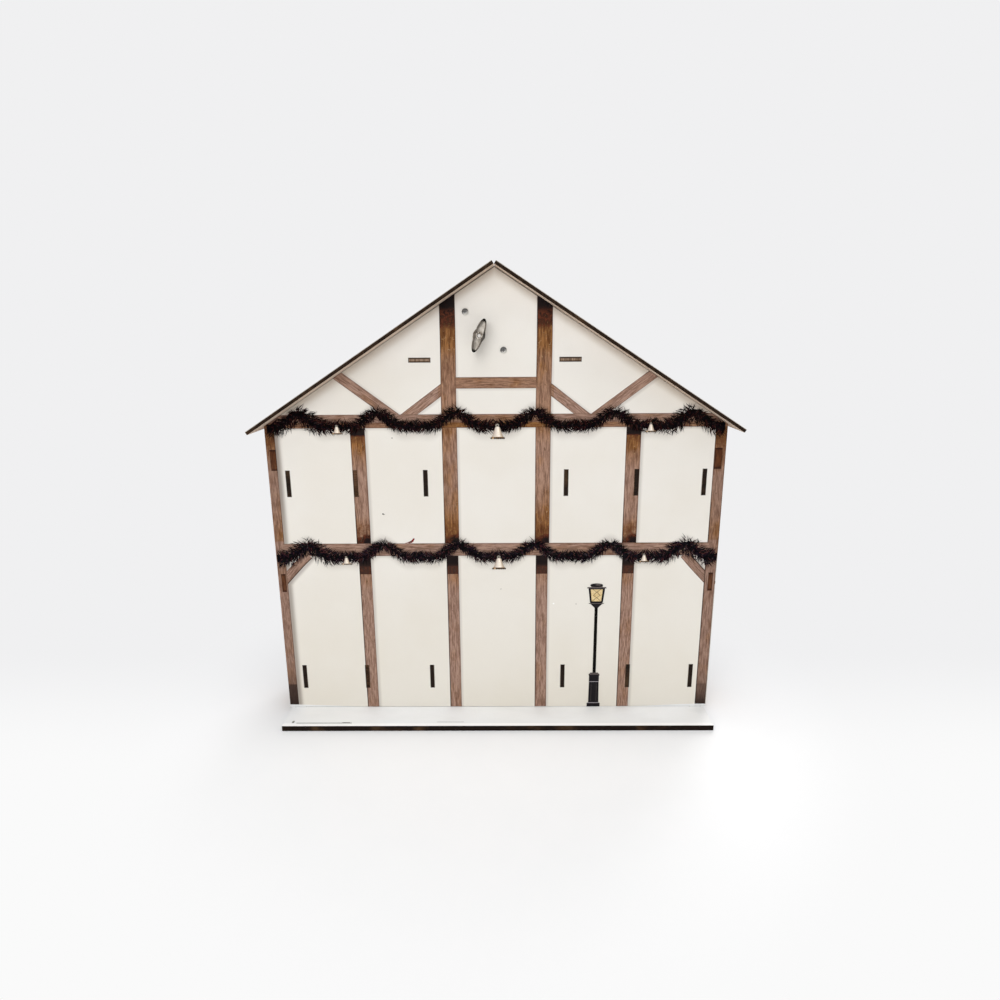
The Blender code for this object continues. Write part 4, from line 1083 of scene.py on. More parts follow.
def needleNodes(material):
    # Needles strewn along the curve they are put on: each leans along the run, away from the crests.
    tree, maker, entry = newNeedleTree()

    def chance(low, high, offset):
        return drawValue(maker, entry["Seed"], low, high, offset)

    points = needlePoints(maker, entry, chance(0.0, 1.0, 1))
    offset = chance(-0.5, 0.5, 2) + chance(-0.5, 0.5, 3)
    runX, _, runZ = maker.separate(points["Run"])
    spotX = maker.separate(points["Spot"])[0]
    ends = maker.rise(abs(spotX), garland["endStart"], garland["endFull"])
    wider = 1.0 + ends * garland["endGrowth"]
    aside = maker.vector("SCALE", maker.combine(-runZ, 0.0, runX), scale=offset * entry["Spread"] * wider)
    depth = chance(0.0, 1.0, 4) * (entry["Layer"] * entry["Facing"])
    place = maker.vector("ADD", maker.vector("ADD", points["Spot"], aside), maker.combine(0.0, depth, 0.0))

    wave = maker.math("SINE", (points["Share"] * entry["Waves"] + entry["Phase"]) * (2 * math.pi))
    astray = chance(0.0, 1.0, 5) > 0.86
    way = maker.sign(wave) * (1.0 - astray * 2.0)
    lean = chance(0.55, 1.25, 6) * maker.sign(offset)
    angle = maker.math("ARCTAN2", runZ, runX) + (way < 0.0) * math.pi + lean * way

    moved = maker.add("GeometryNodeSetPosition", {"Geometry": points["Geometry"], "Position": place})
    size = chance(0.65, 1.25, 7)
    strewn = maker.add("GeometryNodeInstanceOnPoints", {
        "Points": moved.outputs[0], "Instance": needleShape(maker, entry).outputs[0],
        "Rotation": maker.combine(0.0, -angle, 0.0), "Scale": maker.combine(size, 1.0, 0.5 + size * 0.5)})
    toned = maker.add("GeometryNodeStoreNamedAttribute", {
        "Geometry": strewn.outputs[0], "Name": "tone"}, data_type="FLOAT", domain="INSTANCE")
    value = [socket for socket in toned.inputs if socket.name == "Value" and socket.enabled][0]
    maker.feed(value, chance(0.0, 1.0, 8))
    real = maker.add("GeometryNodeRealizeInstances", {"Geometry": toned.outputs[0]})
    painted = maker.add("GeometryNodeSetMaterial", {"Geometry": real.outputs[0], "Material": material})
    maker.link(painted, maker.add("NodeGroupOutput").inputs[0])
    return tree


def setInput(modifier, label, value):
    # Sets a Geometry Nodes input by its label, through its identifier.
    for item in modifier.node_group.interface.items_tree:
        if item.item_type == "SOCKET" and item.in_out == "INPUT" and item.name == label:
            modifier[item.identifier] = value


def joinedCorners(vert):
    # All corners that edges join to this one.
    group = {vert}
    waiting = [vert]
    while waiting:
        here = waiting.pop()
        for edge in here.link_edges:
            other = edge.other_vert(here)
            if other not in group:
                group.add(other)
                waiting.append(other)
    return group


def strewOnCurve(name, points, cyclic, tree, keep, **values):
    # A mesh of needles along a line of points; a needle stays when keep allows all its corners.
    curve = bpy.data.curves.new(name + "Line", "CURVE")
    curve.dimensions = "3D"
    spline = curve.splines.new("POLY")
    spline.points.add(len(points) - 1)
    spline.use_cyclic_u = cyclic
    for point, spot in zip(spline.points, points):
        point.co = (*spot, 1.0)
    carrier = linkObject(name + "Line", curve)
    modifier = carrier.modifiers.new("needles", "NODES")
    modifier.node_group = tree
    for label, value in values.items():
        setInput(modifier, label, value)
    mesh = takeMesh(carrier)
    work = bmesh.new()
    work.from_mesh(mesh)
    loose = set()
    seen = set()
    for vert in work.verts:
        if vert in seen:
            continue
        group = joinedCorners(vert)
        seen |= group
        if not all(keep(corner.co) for corner in group):
            loose |= group
    bmesh.ops.delete(work, geom=list(loose), context="VERTS")
    bmesh.ops.recalc_face_normals(work, faces=work.faces)
    work.to_mesh(mesh)
    work.free()
    return mesh


def onWall(reach, low=0.0):
    # Keeps what lies on the wall: inside its sides, clear of the roof boards and above low.

    def keep(spot):
        clear = gableHeight(abs(spot.x)) - 0.0006
        return abs(spot.x) < reach and low < spot.z < clear

    return keep


def endShare(x):
    # 0 along the middle of a garland and 1 near its ends, where it is thicker.
    share = min(max((abs(x) - garland["endStart"]) / (garland["endFull"] - garland["endStart"]), 0.0), 1.0)
    return share * share * (3 - 2 * share)


def garlandPoints(height, facing, reach):
    steps = 240
    y = facing * (house["frontFace"] + garland["lift"])
    points = []
    for i in range(steps + 1):
        x = reach * (2 * i / steps - 1)
        turn = 2 * math.pi * x / garland["wave"]
        z = height - garland["swing"] * (math.cos(turn) - garland["sharpness"] * math.cos(2 * turn))
        points.append((x, y, z - garland["endDrop"] * endShare(x)))
    return points


def bellShape(work, x, top, size, facing, lift):
    # One printed bell's body, bellied, with a tone that runs across it.
    tone = work.verts.layers.float.get("across") or work.verts.layers.float.new("across")
    face = facing * (house["frontFace"] + lift)
    columns = bell["columns"]
    height = size * bell["tall"]
    rows = []
    for half, drop in bell["profile"]:
        row = []
        for column in columns:
            bulge = 0.00018 * (1 - column * column)
            spot = (x + column * half * size, face + facing * bulge, top - drop * height)
            vert = work.verts.new(spot)
            vert[tone] = column
            row.append(vert)
        rows.append(row)
    for upper, lower in zip(rows, rows[1:]):
        for i in range(len(columns) - 1):
            work.faces.new((upper[i], lower[i], lower[i + 1], upper[i + 1]))


def bellMaterial():
    # Cream gold, paler left of the middle and brown to the right, as a lit bell is printed.
    material, maker, place, _ = newMaterial("printedBell")
    across = maker.outputs(maker.add("ShaderNodeAttribute", attribute_name="across"))["Fac"]
    share = across * 0.5 + 0.5
    colour = maker.ramp(share, [
        (0.0, linear((176, 156, 140))), (0.20, linear((212, 200, 188))), (0.50, linear((246, 236, 222))),
        (0.66, linear((252, 242, 226))), (0.82, linear((208, 190, 168))), (1.0, linear((164, 148, 132))),
    ])
    mottle = maker.rise(maker.noise(place, 900, 2.0, 0.6), 0.5, 0.72)
    colour = maker.mix(mottle * 0.35, colour, linear((190, 160, 120)))
    coat = maker.placed(groups["coat"], {"Vector": place, "Color": colour})
    finishMaterial(maker, coat["Color"], coat["Roughness"], coat["Height"], bump=0.1, distance=0.00005)
    return material


def buildBells(name, spots, facing):
    # The bells of one side in one piece: rings, rims, beads and clappers as plates, then the bodies.
    plates = Plates(facing, bell["lift"])
    for x, top, kind in spots:
        size, half = bell[kind]
        bottom = top - size * bell["tall"] * bell["profile"][-1][1]
        plates.ring(x - size * 0.02, top + size * 0.09, size * 0.05, size * 0.15, 4, sides=14)
        plates.box(x, bottom - size * 0.030, half * 1.66, size * 0.07, 3)
        for i in range(bell["beads"]):
            share = (i + 0.5) / bell["beads"] * 2 - 1
            ink = 1 if i == 1 else 2
            plates.disc(x + share * half, bottom - size * 0.105, size * 0.078, ink, 0.00006, 10, 0.95)
        plates.disc(x + size * 0.02, bottom - size * 0.15, size * 0.06, 1, 0.00003, 12, 0.6)
    work = plates.work
    for x, top, kind in spots:
        bellShape(work, x, top, bell[kind][0], facing, bell["lift"] + 0.0001)
    bmesh.ops.recalc_face_normals(work, faces=work.faces)
    for face in work.faces:
        if face.material_index == 0 and face.normal.y * facing < 0:
            face.normal_flip()
    newPiece(name, meshFrom(work, name), "house", "printed_board", "bell", "gold", "dark", "shadowGold",
             "ring")


def buildLamp():
    # The printed street lamp: plinth, post, funnel, lattice glass and cap.
    x, floor = lamp["x"], house["baseTop"]
    plates = Plates(-1, lamp["lift"])

    def band(low, high, lowHalf, highHalf, material=0, raised=0.0):
        plates.add([(x - lowHalf, floor + low), (x + lowHalf, floor + low),
                    (x + highHalf, floor + high), (x - highHalf, floor + high)], material, raised)

    # Plinth, post and funnel
    band(0.0001, 0.0038, 0.0061, 0.0061)
    band(0.0038, 0.0044, 0.0053, 0.0053, 2)
    band(0.0044, 0.0256, 0.0048, 0.0045)
    band(0.0256, 0.0262, 0.0046, 0.0046, 2)
    band(0.0262, 0.0320, 0.0046, 0.0046)
    band(0.0320, 0.0330, 0.0047, 0.0051)
    band(0.0330, 0.0341, 0.0051, 0.0047, 1)
    band(0.0341, 0.0352, 0.0042, 0.0034, 1)
    band(0.0352, 0.1000, 0.00150, 0.00140, 4)
    band(0.0996, 0.1030, 0.0014, 0.0048)
    band(0.1030, 0.1058, 0.0050, 0.0058)
    band(0.1035, 0.1043, 0.0060, 0.0073, 1, 0.00003)
    # Frame, glass, brim and cap
    band(0.1050, 0.1184, 0.0058, 0.0074)
    band(0.1060, 0.1174, 0.0042, 0.0054, 3, 0.00006)
    band(0.1184, 0.1196, 0.0087, 0.0083, 1)
    band(0.1196, 0.1206, 0.0050, 0.0054, 1)
    plates.disc(x - 0.0002, floor + 0.1214, 0.0057, 0, 0.00003, 28, 0.30)
    plates.disc(x + 0.0014, floor + 0.1219, 0.0028, 1, 0.00012, 20, 0.28)
    # Lattice of the glass: two diamonds between its corners
    knots = [(0.0034, 0.1174), (0.0, 0.1148), (0.0031, 0.1118), (0.0, 0.1097), (0.0038, 0.1062)]
    for side in (-1, 1):
        for (x0, z0), (x1, z1) in zip(knots, knots[1:]):
            start, end = x + side * x0, x + side * x1
            plates.add([(start - 0.00030, floor + z0), (start + 0.00030, floor + z0),
                        (end + 0.00030, floor + z1), (end - 0.00030, floor + z1)], 5, 0.00013)
    # Two fine upright lines on the plinth
    for side in (-1, 1):
        plates.box(x + side * 0.0024, floor + 0.0150, 0.0002, 0.0180, 1, 0.00007)
    newPiece("lamp_post_print", plates.mesh("lamp_post_print"), "house", "printed_board",
             "iron", "ironEdge", "ironLine", "glow", "pole", "lattice")


def buildMarks():
    # Small marks: a red bird above the middle beam, and ink specks.
    plates = Plates(-1, 0.00008)
    for x, z, radius, material in (
        (-0.0984, 0.1931, 0.00075, 1), (-0.0975, 0.1926, 0.0005, 1), (-0.0874, 0.2596, 0.00055, 1),
        (0.0039, 0.1230, 0.0004, 1), (0.0511, 0.1089, 0.0009, 2), (0.0713, 0.1084, 0.0004, 1),
    ):
        plates.disc(x, z, radius, material, 0.0, 10, 0.8)
    birdX, birdZ = -0.0752, 0.1682
    body = [(-0.0046, -0.0020), (-0.0030, -0.0016), (-0.0010, -0.0019), (0.0010, -0.0014),
            (0.0024, -0.0002), (0.0030, 0.0012), (0.0036, 0.0019), (0.0032, 0.0027), (0.0022, 0.0026),
            (0.0014, 0.0014), (0.0000, 0.0003), (-0.0018, -0.0006), (-0.0034, -0.0013),
            (-0.0048, -0.0016)]
    plates.add([(birdX + x, birdZ + z) for x, z in body], 0)
    wing = [(-0.0030, -0.0014), (-0.0006, -0.0014), (0.0010, -0.0004), (0.0006, 0.0004), (-0.0012, -0.0006)]
    plates.add([(birdX + x, birdZ + z) for x, z in wing], 1, 0.00006)
    newPiece("small_marks", plates.mesh("small_marks"), "house", "printed_board", "red", "speck", "white")


def buildBaseMarks():
    # Faint scratches along the base's edge at the back.
    work = bmesh.new()
    top = house["baseTop"] + 0.00004

    def strip(x0, y0, x1, y1):
        for z in (top, top + 0.00004):
            spots = ((x0, y0, z), (x1, y0, z), (x1, y1, z), (x0, y1, z))
            corners = [work.verts.new(spot) for spot in spots]
            work.faces.new(corners if z > top else corners[::-1])

    strip(-0.1812, -0.0569, -0.1312, -0.0560)
    strip(-0.1400, -0.0563, -0.1330, -0.0553)
    strip(-0.1856, -0.0562, -0.1836, -0.0530)
    strip(-0.0545, -0.0552, -0.0300, -0.0549)
    newPiece("base_marks", meshFrom(work, "base_marks"), "house", "snow_board", "faint")


inks = {
    "bell": bellMaterial(),
    "gold": inkMaterial("bellGold", (206, 176, 134), (150, 112, 70), 1500),
    "dark": inkMaterial("bellDark", (52, 38, 28), (80, 60, 44), 1500),
    "ring": inkMaterial("bellRing", (150, 143, 132), (108, 100, 90), 1500),
    "shadowGold": inkMaterial("bellRim", (158, 124, 88), (100, 72, 48), 1200),
    "iron": inkMaterial("lampIron", (21, 18, 21), (36, 31, 36), 700, specular=0.1),
    "ironEdge": inkMaterial("lampEdge", (92, 84, 82), (66, 58, 57), 900),
    "pole": inkMaterial("lampPole", (8, 6, 4), (18, 14, 11), 900, specular=0.05),
    "lattice": inkMaterial("lampLattice", (118, 94, 62), (92, 68, 40), 900),
    "ironLine": inkMaterial("lampLine", (172, 166, 172), (120, 114, 122), 900),
    "glow": inkMaterial("lampGlass", (226, 204, 156), (202, 168, 112), 620, 0.8),
    "red": inkMaterial("birdRed", (134, 34, 32), (90, 18, 20), 1300),
    "core": inkMaterial("garlandCore", (5, 4, 7), (18, 12, 18), 900, 0.6, specular=0.02),
    "speck": inkMaterial("inkSpeck", (84, 74, 68), (52, 44, 40), 1600),
    "white": inkMaterial("whiteSpeck", (252, 251, 248), (240, 238, 232), 900),
    "faint": inkMaterial("faintMark", (122, 124, 118), (160, 160, 156), 700),
}

needles = needleNodes(needleMaterial())


def garlandCore(name, points, facing, reach):
    # The dense middle of a garland: a ragged dark ribbon under its needles.
    plates = Plates(facing, 0.00004, 0.00004)
    keep = onWall(reach)
    inside = [(x, z) for x, y, z in points if keep(Vector((x, y, z + garland["coreHalf"] * 1.4)))]
    chance = random.Random(9)
    edges = []
    for x, z in inside:
        half = garland["coreHalf"] * chance.uniform(0.75, 1.1) * (1 + garland["endGrowth"] * endShare(x))
        edges.append(((x, z - half), (x, z + half)))
    for (low, high), (nextLow, nextHigh) in zip(edges, edges[1:]):
        plates.add([low, nextLow, nextHigh, high])
    return plates.mesh(name)


def buildGarlands():
    reach = house["halfWidth"] - 0.0006
    waves = 2 * reach / garland["wave"]
    shared = {
        "Length": garland["length"], "Width": garland["width"], "Spread": garland["spread"] * 2,
        "Count": garland["needles"], "Layer": garland["layer"], "Waves": waves,
        "Phase": 0.5 - waves / 2 % 1.0,
    }
    for name, height, facing, seed in (
        ("garland_back_upper", garland["upperHeight"], -1, 3),
        ("garland_back_lower", garland["lowerHeight"], -1, 7),
        ("garland_front", garland["frontHeight"], 1, 11),
    ):
        points = garlandPoints(height, facing, reach)
        keep = onWall(reach, garland["frontLow"] if facing > 0 else 0.0)
        mesh = strewOnCurve(name, points, False, needles, keep, Seed=seed, Facing=float(facing), **shared)
        newPiece(name, mesh, "house", "printed_board")
        core = garlandCore(name + "_core", points, facing, reach)
        newPiece(name + "_core", core, "house", "printed_board", "core")


buildGarlands()
buildBells("bells_back", bell["backUpper"] + bell["backLower"], -1)
buildBells("bells_front", bell["front"], 1)
buildLamp()
buildMarks()
buildBaseMarks()
print("prints laid")


def doorFacts():
    # Each door's number, bay, lowest row, rows, middle and half size.
    facts = []
    board, cell, walls = house["board"], door["cell"], door["walls"]
    places = [(bay, row, 1) for row in range(4, -1, -1) for bay in range(4, -1, -1) if row >= 2 or bay != 2]
    for number, (bay, row, tall) in enumerate(places + [(2, 0, 2)], start=1):
        height = tall * cell + (tall - 1) * board
        low = house["baseTop"] + row * (cell + board)
        middle = ((walls[bay] + walls[bay + 1]) / 2, low + height / 2)
        half = ((walls[bay + 1] - walls[bay] - board) / 2 - door["gap"], height / 2 - door["gap"])
        facts.append({"number": number, "bay": bay, "row": row, "tall": tall, "middle": middle,
                      "half": half})
    return facts


def buildDoorPaint():
    # A painted plank door: grooved boards, a framed edge, printed strap hinges and snow at its foot.
    tree, maker, entry, finish = newGroup(
        "doorPaint",
        {"Vector": None, "Middle": None, "Half Width": 0.03, "Half Height": 0.02, "Plank": 0.01,
         "Strap": 0.014, "Paint": (0.3, 0.02, 0.02, 1), "Deep": (0.1, 0.01, 0.01, 1),
         "Trim": (0.8, 0.75, 0.7, 1)},
        {"Color": "Color", "Height": "Float"},
    )
    local = maker.vector("SUBTRACT", entry["Vector"], entry["Middle"])
    x, _, z = maker.separate(local)
    toSide = entry["Half Width"] - abs(x)
    toEnd = entry["Half Height"] - abs(z)
    inset = maker.least(toSide, toEnd)
    planks = (x + entry["Half Width"]) / entry["Plank"]
    place = maker.math("FRACT", planks)
    number = maker.math("FLOOR", planks)
    groove = maker.least(place, 1.0 - place)
    isGroove = maker.fall(groove, 0.02, 0.07)
    stretched = maker.combine(x * 8.0, number * 0.37, z)
    streak = maker.noise(stretched, 90, 4.0, 0.6)
    fine = maker.noise(stretched, 420, 2.0, 0.6)
    colour = maker.mix(maker.rise(streak, 0.35, 0.7) * 0.6, entry["Paint"], entry["Deep"])
    colour = maker.mix(maker.rise(fine, 0.55, 0.75) * 0.3, colour, entry["Trim"])
    colour = maker.mix(isGroove * 0.85, colour, entry["Deep"])
    strapUp = abs(z) - entry["Strap"]
    strapHalf = 0.0011 + maker.rise(x, -0.004, 0.004) * 0.0004
    strapTall = strapHalf - abs(strapUp)
    strapLong = x - entry["Half Width"] * -0.15
    isStrap = maker.rise(maker.least(strapTall, strapLong), -0.0001, 0.0001)
    hammered = maker.mix(maker.rise(maker.noise(local, 900, 2.0, 0.5), 0.4, 0.7), linear((30, 28, 32)),
                         linear((66, 62, 66)))
    colour = maker.mix(isStrap, colour, hammered)
    frameMask = maker.fall(inset, 0.0026, 0.0029)
    frameTone = maker.mix(maker.rise(streak, 0.3, 0.7), linear((112, 82, 64)), linear((152, 118, 98)))
    colour = maker.mix(frameMask, colour, frameTone)
    line = maker.rise(inset, 0.0024, 0.0026) * maker.fall(inset, 0.0030, 0.0033)
    colour = maker.mix(line * 0.8, colour, linear((48, 32, 26)))
    ragged = maker.noise(maker.combine(x), 130, 3.0, 0.6) * 0.0075
    fromFoot = z + entry["Half Height"]
    snow = maker.fall(fromFoot - ragged, -0.0002, 0.0003)
    snowTone = maker.mix(maker.rise(maker.noise(local, 260, 2.0, 0.5), 0.4, 0.7), linear((244, 246, 250)),
                         linear((216, 222, 234)))
    colour = maker.mix(snow, colour, snowTone)
    finish({"Color": colour, "Height": streak - isGroove * 0.6})
    return tree


def doorMaterial(name, fact, paint):
    # A door: painted front, plain back, burnt edges and a turned beech knob.
    material, maker, place, normal = newMaterial(name)
    (middleX, middleZ), (halfX, halfZ) = fact["middle"], fact["half"]
    painted = maker.placed(doorPaint, {
        "Vector": place, "Middle": (middleX, 0.0, middleZ), "Half Width": halfX, "Half Height": halfZ,
        "Plank": 2 * halfX / (7 if halfX > 0.04 else 5), "Strap": halfZ * 0.58,
        "Paint": linear(paint[0]), "Deep": linear(paint[1]), "Trim": linear(paint[2]),
    })
    coat = maker.placed(groups["coat"], {"Vector": place, "Color": painted["Color"]})
    edge = maker.placed(groups["edge"], {"Vector": place, "Across": (0, 1, 0), "Tone": tones["printEdge"]})
    raw = rawInner(maker, place)
    y = maker.separate(place)[1]
    outward = maker.separate(normal)[1]
    isPrint = outward > 0.9
    isInner = outward < -0.9
    isKnob = y > house["frontFace"] + 0.00002
    rings = maker.noise(maker.scaled(place, (1.0, 6.0, 1.0)), 260, 3.0, 0.6)
    beech = maker.mix(maker.rise(rings, 0.35, 0.7), linear((212, 168, 118)), linear((168, 118, 72)))
    colour = maker.mix(isInner, edge["Color"], raw["Color"])
    colour = maker.mix(isPrint, colour, coat["Color"])
    colour = maker.mix(isKnob, colour, beech)
    roughness = maker.blend(isPrint, 0.8, coat["Roughness"])
    roughness = maker.blend(isKnob, roughness, 0.3 + rings * 0.2)
    height = maker.blend(isPrint, edge["Height"], painted["Height"] * 0.5)
    finishMaterial(maker, colour, roughness, height, bump=0.3, distance=0.00012)
    return material


doorPaint = buildDoorPaint()
paints = [
    ((158, 44, 38), (104, 22, 22), (206, 104, 88)),
    ((46, 92, 66), (24, 54, 40), (104, 146, 112)),
    ((226, 214, 190), (186, 170, 142), (244, 238, 224)),
]
housePaint = ((138, 34, 32), (84, 16, 18), (188, 90, 76))
inks["plaque"] = inkMaterial("plaqueCream", (240, 230, 206), (222, 206, 172), 260, 0.6)
inks["plaqueRim"] = inkMaterial("plaqueRim", (172, 132, 72), (120, 86, 44), 900)
inks["digit"] = inkMaterial("plaqueDigit", (70, 42, 28), (46, 26, 18), 900)


def digitsMesh(text, size, middle, y):
    # A plain number as a thin plate that faces the front, centred on its plaque.
    curve = bpy.data.curves.new("digits", "FONT")
    curve.body = text
    curve.size = size
    curve.align_x = "CENTER"
    curve.align_y = "CENTER"
    curve.resolution_u = 4
    curve.extrude = 0.00004
    mesh = takeMesh(linkObject("digits", curve))
    corners = [vert.co for vert in mesh.vertices]
    centreX = (min(c.x for c in corners) + max(c.x for c in corners)) / 2
    centreY = (min(c.y for c in corners) + max(c.y for c in corners)) / 2
    turn = Matrix(((-1, 0, 0, middle[0]), (0, 0, 1, y), (0, 1, 0, middle[1]), (0, 0, 0, 1)))
    mesh.transform(turn @ Matrix.Translation((-centreX, -centreY, 0)))
    return mesh


def buildDoorNumber(fact):
    # A cream plaque with a thin rim and the door's number on it.
    name = f"door_{fact['number']:02d}"
    large = fact["tall"] > 1
    scale = door["largeScale"] if large else 1.0
    radius = door["plaqueRadius"] * scale
    middle = (fact["middle"][0], fact["middle"][1] + door["largeRise" if large else "plaqueRise"])
    plates = Plates(1, door["numberLift"])
    plates.disc(*middle, radius, 0, 0.0, 36)
    plates.ring(*middle, radius * 0.86, radius * 0.94, 1, 0.00005, 36)
    work = plates.work
    bmesh.ops.recalc_face_normals(work, faces=work.faces)
    front = house["frontFace"] + door["numberLift"] + 0.00016
    digits = digitsMesh(str(fact["number"]), door["numberSize"] * scale, middle, front)
    first = len(work.faces)
    work.from_mesh(digits)
    work.faces.ensure_lookup_table()
    for face in work.faces[first:]:
        face.material_index = 2
    bmesh.ops.remove_doubles(work, verts=work.verts, dist=0.000001)
    newPiece(name + "_number", meshFrom(work, name + "_number"), name, "door_board",
             "plaque", "plaqueRim", "digit")


def buildWreath(fact):
    # The printed wreath round the house door's number, with berries and a bow.
    name = f"door_{fact['number']:02d}"
    middleX, middleZ = fact["middle"][0], fact["middle"][1] + door["largeRise"]
    radius, steps = door["wreathRadius"], 64
    y = house["frontFace"] + 0.00025
    points = []
    for i in range(steps):
        turn = 2 * math.pi * i / steps
        points.append((middleX + radius * math.cos(turn), y, middleZ + radius * math.sin(turn)))
    mesh = strewOnCurve(
        "door_wreath", points, True, needles, lambda spot: True, Count=door["wreathNeedles"], Seed=21,
        Length=0.0060, Width=0.00045, Spread=0.0074, Layer=0.00012, Facing=1.0, Waves=0.0, Phase=0.25)
    newPiece("door_wreath", mesh, name, "door_board")
    plates = Plates(1, 0.00055)
    chance = random.Random(5)
    berries = 14
    for i in range(berries):
        turn = 2 * math.pi * (i + chance.uniform(-0.25, 0.25)) / berries
        away = radius + chance.uniform(-0.0022, 0.0022)
        plates.disc(middleX + away * math.cos(turn), middleZ + away * math.sin(turn), 0.00115, 0, 0.0, 12)
    bowZ = middleZ - radius
    loop = [(0.0, 0.0), (0.0030, 0.0026), (0.0062, 0.0030), (0.0070, 0.0), (0.0060, -0.0026),
            (0.0028, -0.0020)]
    tail = [(0.0, 0.0), (0.0016, -0.0012), (0.0052, -0.0092), (0.0034, -0.0084), (0.0024, -0.0100)]
    for side in (-1, 1):
        for shape, ink in ((tail, 1), (loop, 0)):
            plates.add([(middleX + side * x, bowZ + z) for x, z in shape], ink, 0.00006 * (1 - ink))
    plates.disc(middleX, bowZ, 0.0016, 1, 0.00014, 14)
    newPiece("door_wreath_bow", plates.mesh("door_wreath_bow"), name, "door_board", "red", "redDeep")


inks["redDeep"] = inkMaterial("bowDeep", (92, 16, 20), (124, 28, 28), 900)
for fact in doorFacts():
    number = fact["number"]
    paint = housePaint if fact["tall"] > 1 else paints[(fact["bay"] + 2 * fact["row"]) % len(paints)]
    dress(doorMaterial(f"paintedDoor{number:02d}", fact, paint), f"door_{number:02d}")
    buildDoorNumber(fact)
    if fact["tall"] > 1:
        buildWreath(fact)
print("doors dressed")


def metalMaterial(name, colour, second, roughness, scale, stretch=(1.0, 1.0, 1.0), tarnish=0.3, bump=0.2):
    # A metal with fine machining marks and soft tarnish.
    material, maker, place, _ = newMaterial(name)
    marks = maker.noise(maker.scaled(place, stretch), scale, 3.0, 0.6)
    cloud = maker.noise(place, 140, 4.0, 0.6)
    tone = maker.mix(maker.rise(cloud, 0.4, 0.7) * tarnish, linear(colour), linear(second))
    tone = maker.mix(maker.rise(marks, 0.5, 0.8) * 0.2, tone, linear(second))
    rough = roughness + marks * 0.16
    finishMaterial(maker, tone, rough, marks, bump=bump, distance=0.00005, metallic=1.0)
    return material


def keyMaterial():
    # The key's pressed steel: bright inside, with painted shade on its rim and walls, deepest on the shadow
    # side of its right bulge, and nearly black at its tips.
    material, maker, place, normal = newMaterial("pressedKey")
    low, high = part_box("winding_key")
    middle = ((low[0] + high[0]) / 2, (low[1] + high[1]) / 2, (low[2] + high[2]) / 2)
    local = maker.vector("SUBTRACT", place, middle)
    x, y, z = maker.separate(local)
    lean = key["lean"]
    along = x * math.sin(lean) + z * math.cos(lean)
    aside = x * math.cos(lean) - z * math.sin(lean)
    reach = abs(along)
    tip = maker.rise(reach, key["tipStart"], key["tipEnd"])
    # Painted shadow: the shadow side of the bulge right of the key's middle
    bulge = maker.rise(aside, 0.0022, 0.0034) * maker.fall(reach, 0.0030, 0.0060)
    outward = abs(maker.separate(normal)[1])
    isShadedWall = outward < 0.6
    isLip = y < low[1] - middle[1] + key["lip"]
    rim = maker.most(isShadedWall, isLip)
    radius = maker.vector("LENGTH", maker.combine(x, 0.0, z))
    inTube = radius < key["tube"]
    marks = maker.noise(maker.scaled(local, (3.0, 1.0, 1.0)), 420, 3.0, 0.6)
    cloud = maker.noise(local, 260, 3.0, 0.6)
    inside = maker.mix(maker.rise(cloud, 0.35, 0.65), linear((194, 187, 177)), linear((158, 150, 139)))
    inside = maker.mix(maker.rise(reach, 0.0112, 0.0124), inside, linear((10, 7, 5)))
    inside = maker.mix(inTube * maker.rise(marks, 0.4, 0.6), inside, linear((96, 86, 74)))
    # Painted shade: the rim and the walls, picked by their facing, take darker tones than the face
    edge = maker.mix(maker.rise(cloud, 0.4, 0.62), linear((92, 84, 75)), linear((58, 51, 44)))
    edge = maker.mix(maker.most(tip, bulge * 0.8), edge, linear((8, 6, 4)))
    colour = maker.mix(rim * 0.92, inside, edge)
    rough = 0.28 + marks * 0.2
    finishMaterial(maker, colour, rough, marks, bump=0.2, distance=0.00005, metallic=1.0)
    return material


def screwMaterial(name):
    # A screw head that is dark at its upper left and catches the light at its lower right.
    low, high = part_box(name)
    material, maker, place, _ = newMaterial("head_" + name)
    local = maker.vector("SUBTRACT", place, ((low[0] + high[0]) / 2, 0.0, (low[2] + high[2]) / 2))
    x, _, z = maker.separate(local)
    lit = maker.rise(x * 0.45 - z, -0.0010, 0.0024)
    marks = maker.noise(place, 2200, 3.0, 0.6)
    tone = maker.mix(lit, linear((98, 98, 97)), linear((226, 223, 218)))
    tone = maker.mix(maker.rise(marks, 0.5, 0.8) * 0.3, tone, linear((120, 120, 118)))
    finishMaterial(maker, tone, 0.34 + marks * 0.16, marks, bump=0.2, distance=0.00005, metallic=1.0)
    return material


def dressMovement():
    zinc = metalMaterial("castZinc", (158, 160, 164), (112, 114, 118), 0.38, 900, bump=0.4)
    steel = metalMaterial("nickelSteel", (196, 192, 186), (128, 124, 120), 0.26, 1500, (1.0, 8.0, 1.0))
    comb = metalMaterial("combSteel", (182, 184, 188), (120, 122, 128), 0.30, 1200, (9.0, 1.0, 1.0))
    inks["screw"] = metalMaterial("screwSteel", (150, 152, 152), (86, 88, 88), 0.34, 2200)
    brass = metalMaterial("turnedBrass", (214, 178, 108), (160, 122, 62), 0.28, 1300, (8.0, 1.0, 1.0))
    dress(zinc, "movement_bedplate", "spring_housing", "cylinder_bearing_left", "cylinder_bearing_right",
          "comb_block", "governor_frame")
    dress(steel, "winding_arbor")
    dress(keyMaterial(), "winding_key")
    dress(comb, "music_comb", "mainspring")
    for name in ("movement_screw_upper", "movement_screw_lower"):
        dress(screwMaterial(name), name)
    dress(brass, "great_wheel", "music_cylinder", "governor_worm")
    material, maker, place, _ = newMaterial("mouldedNylon")
    grain = maker.noise(place, 1400, 2.0, 0.5)
    tone = maker.mix(grain * 0.3, linear((232, 228, 216)), linear((206, 200, 182)))
    finishMaterial(maker, tone, 0.36 + grain * 0.2, grain, bump=0.15, distance=0.00005)
    dress(material, "idler_gear", "governor_fly")


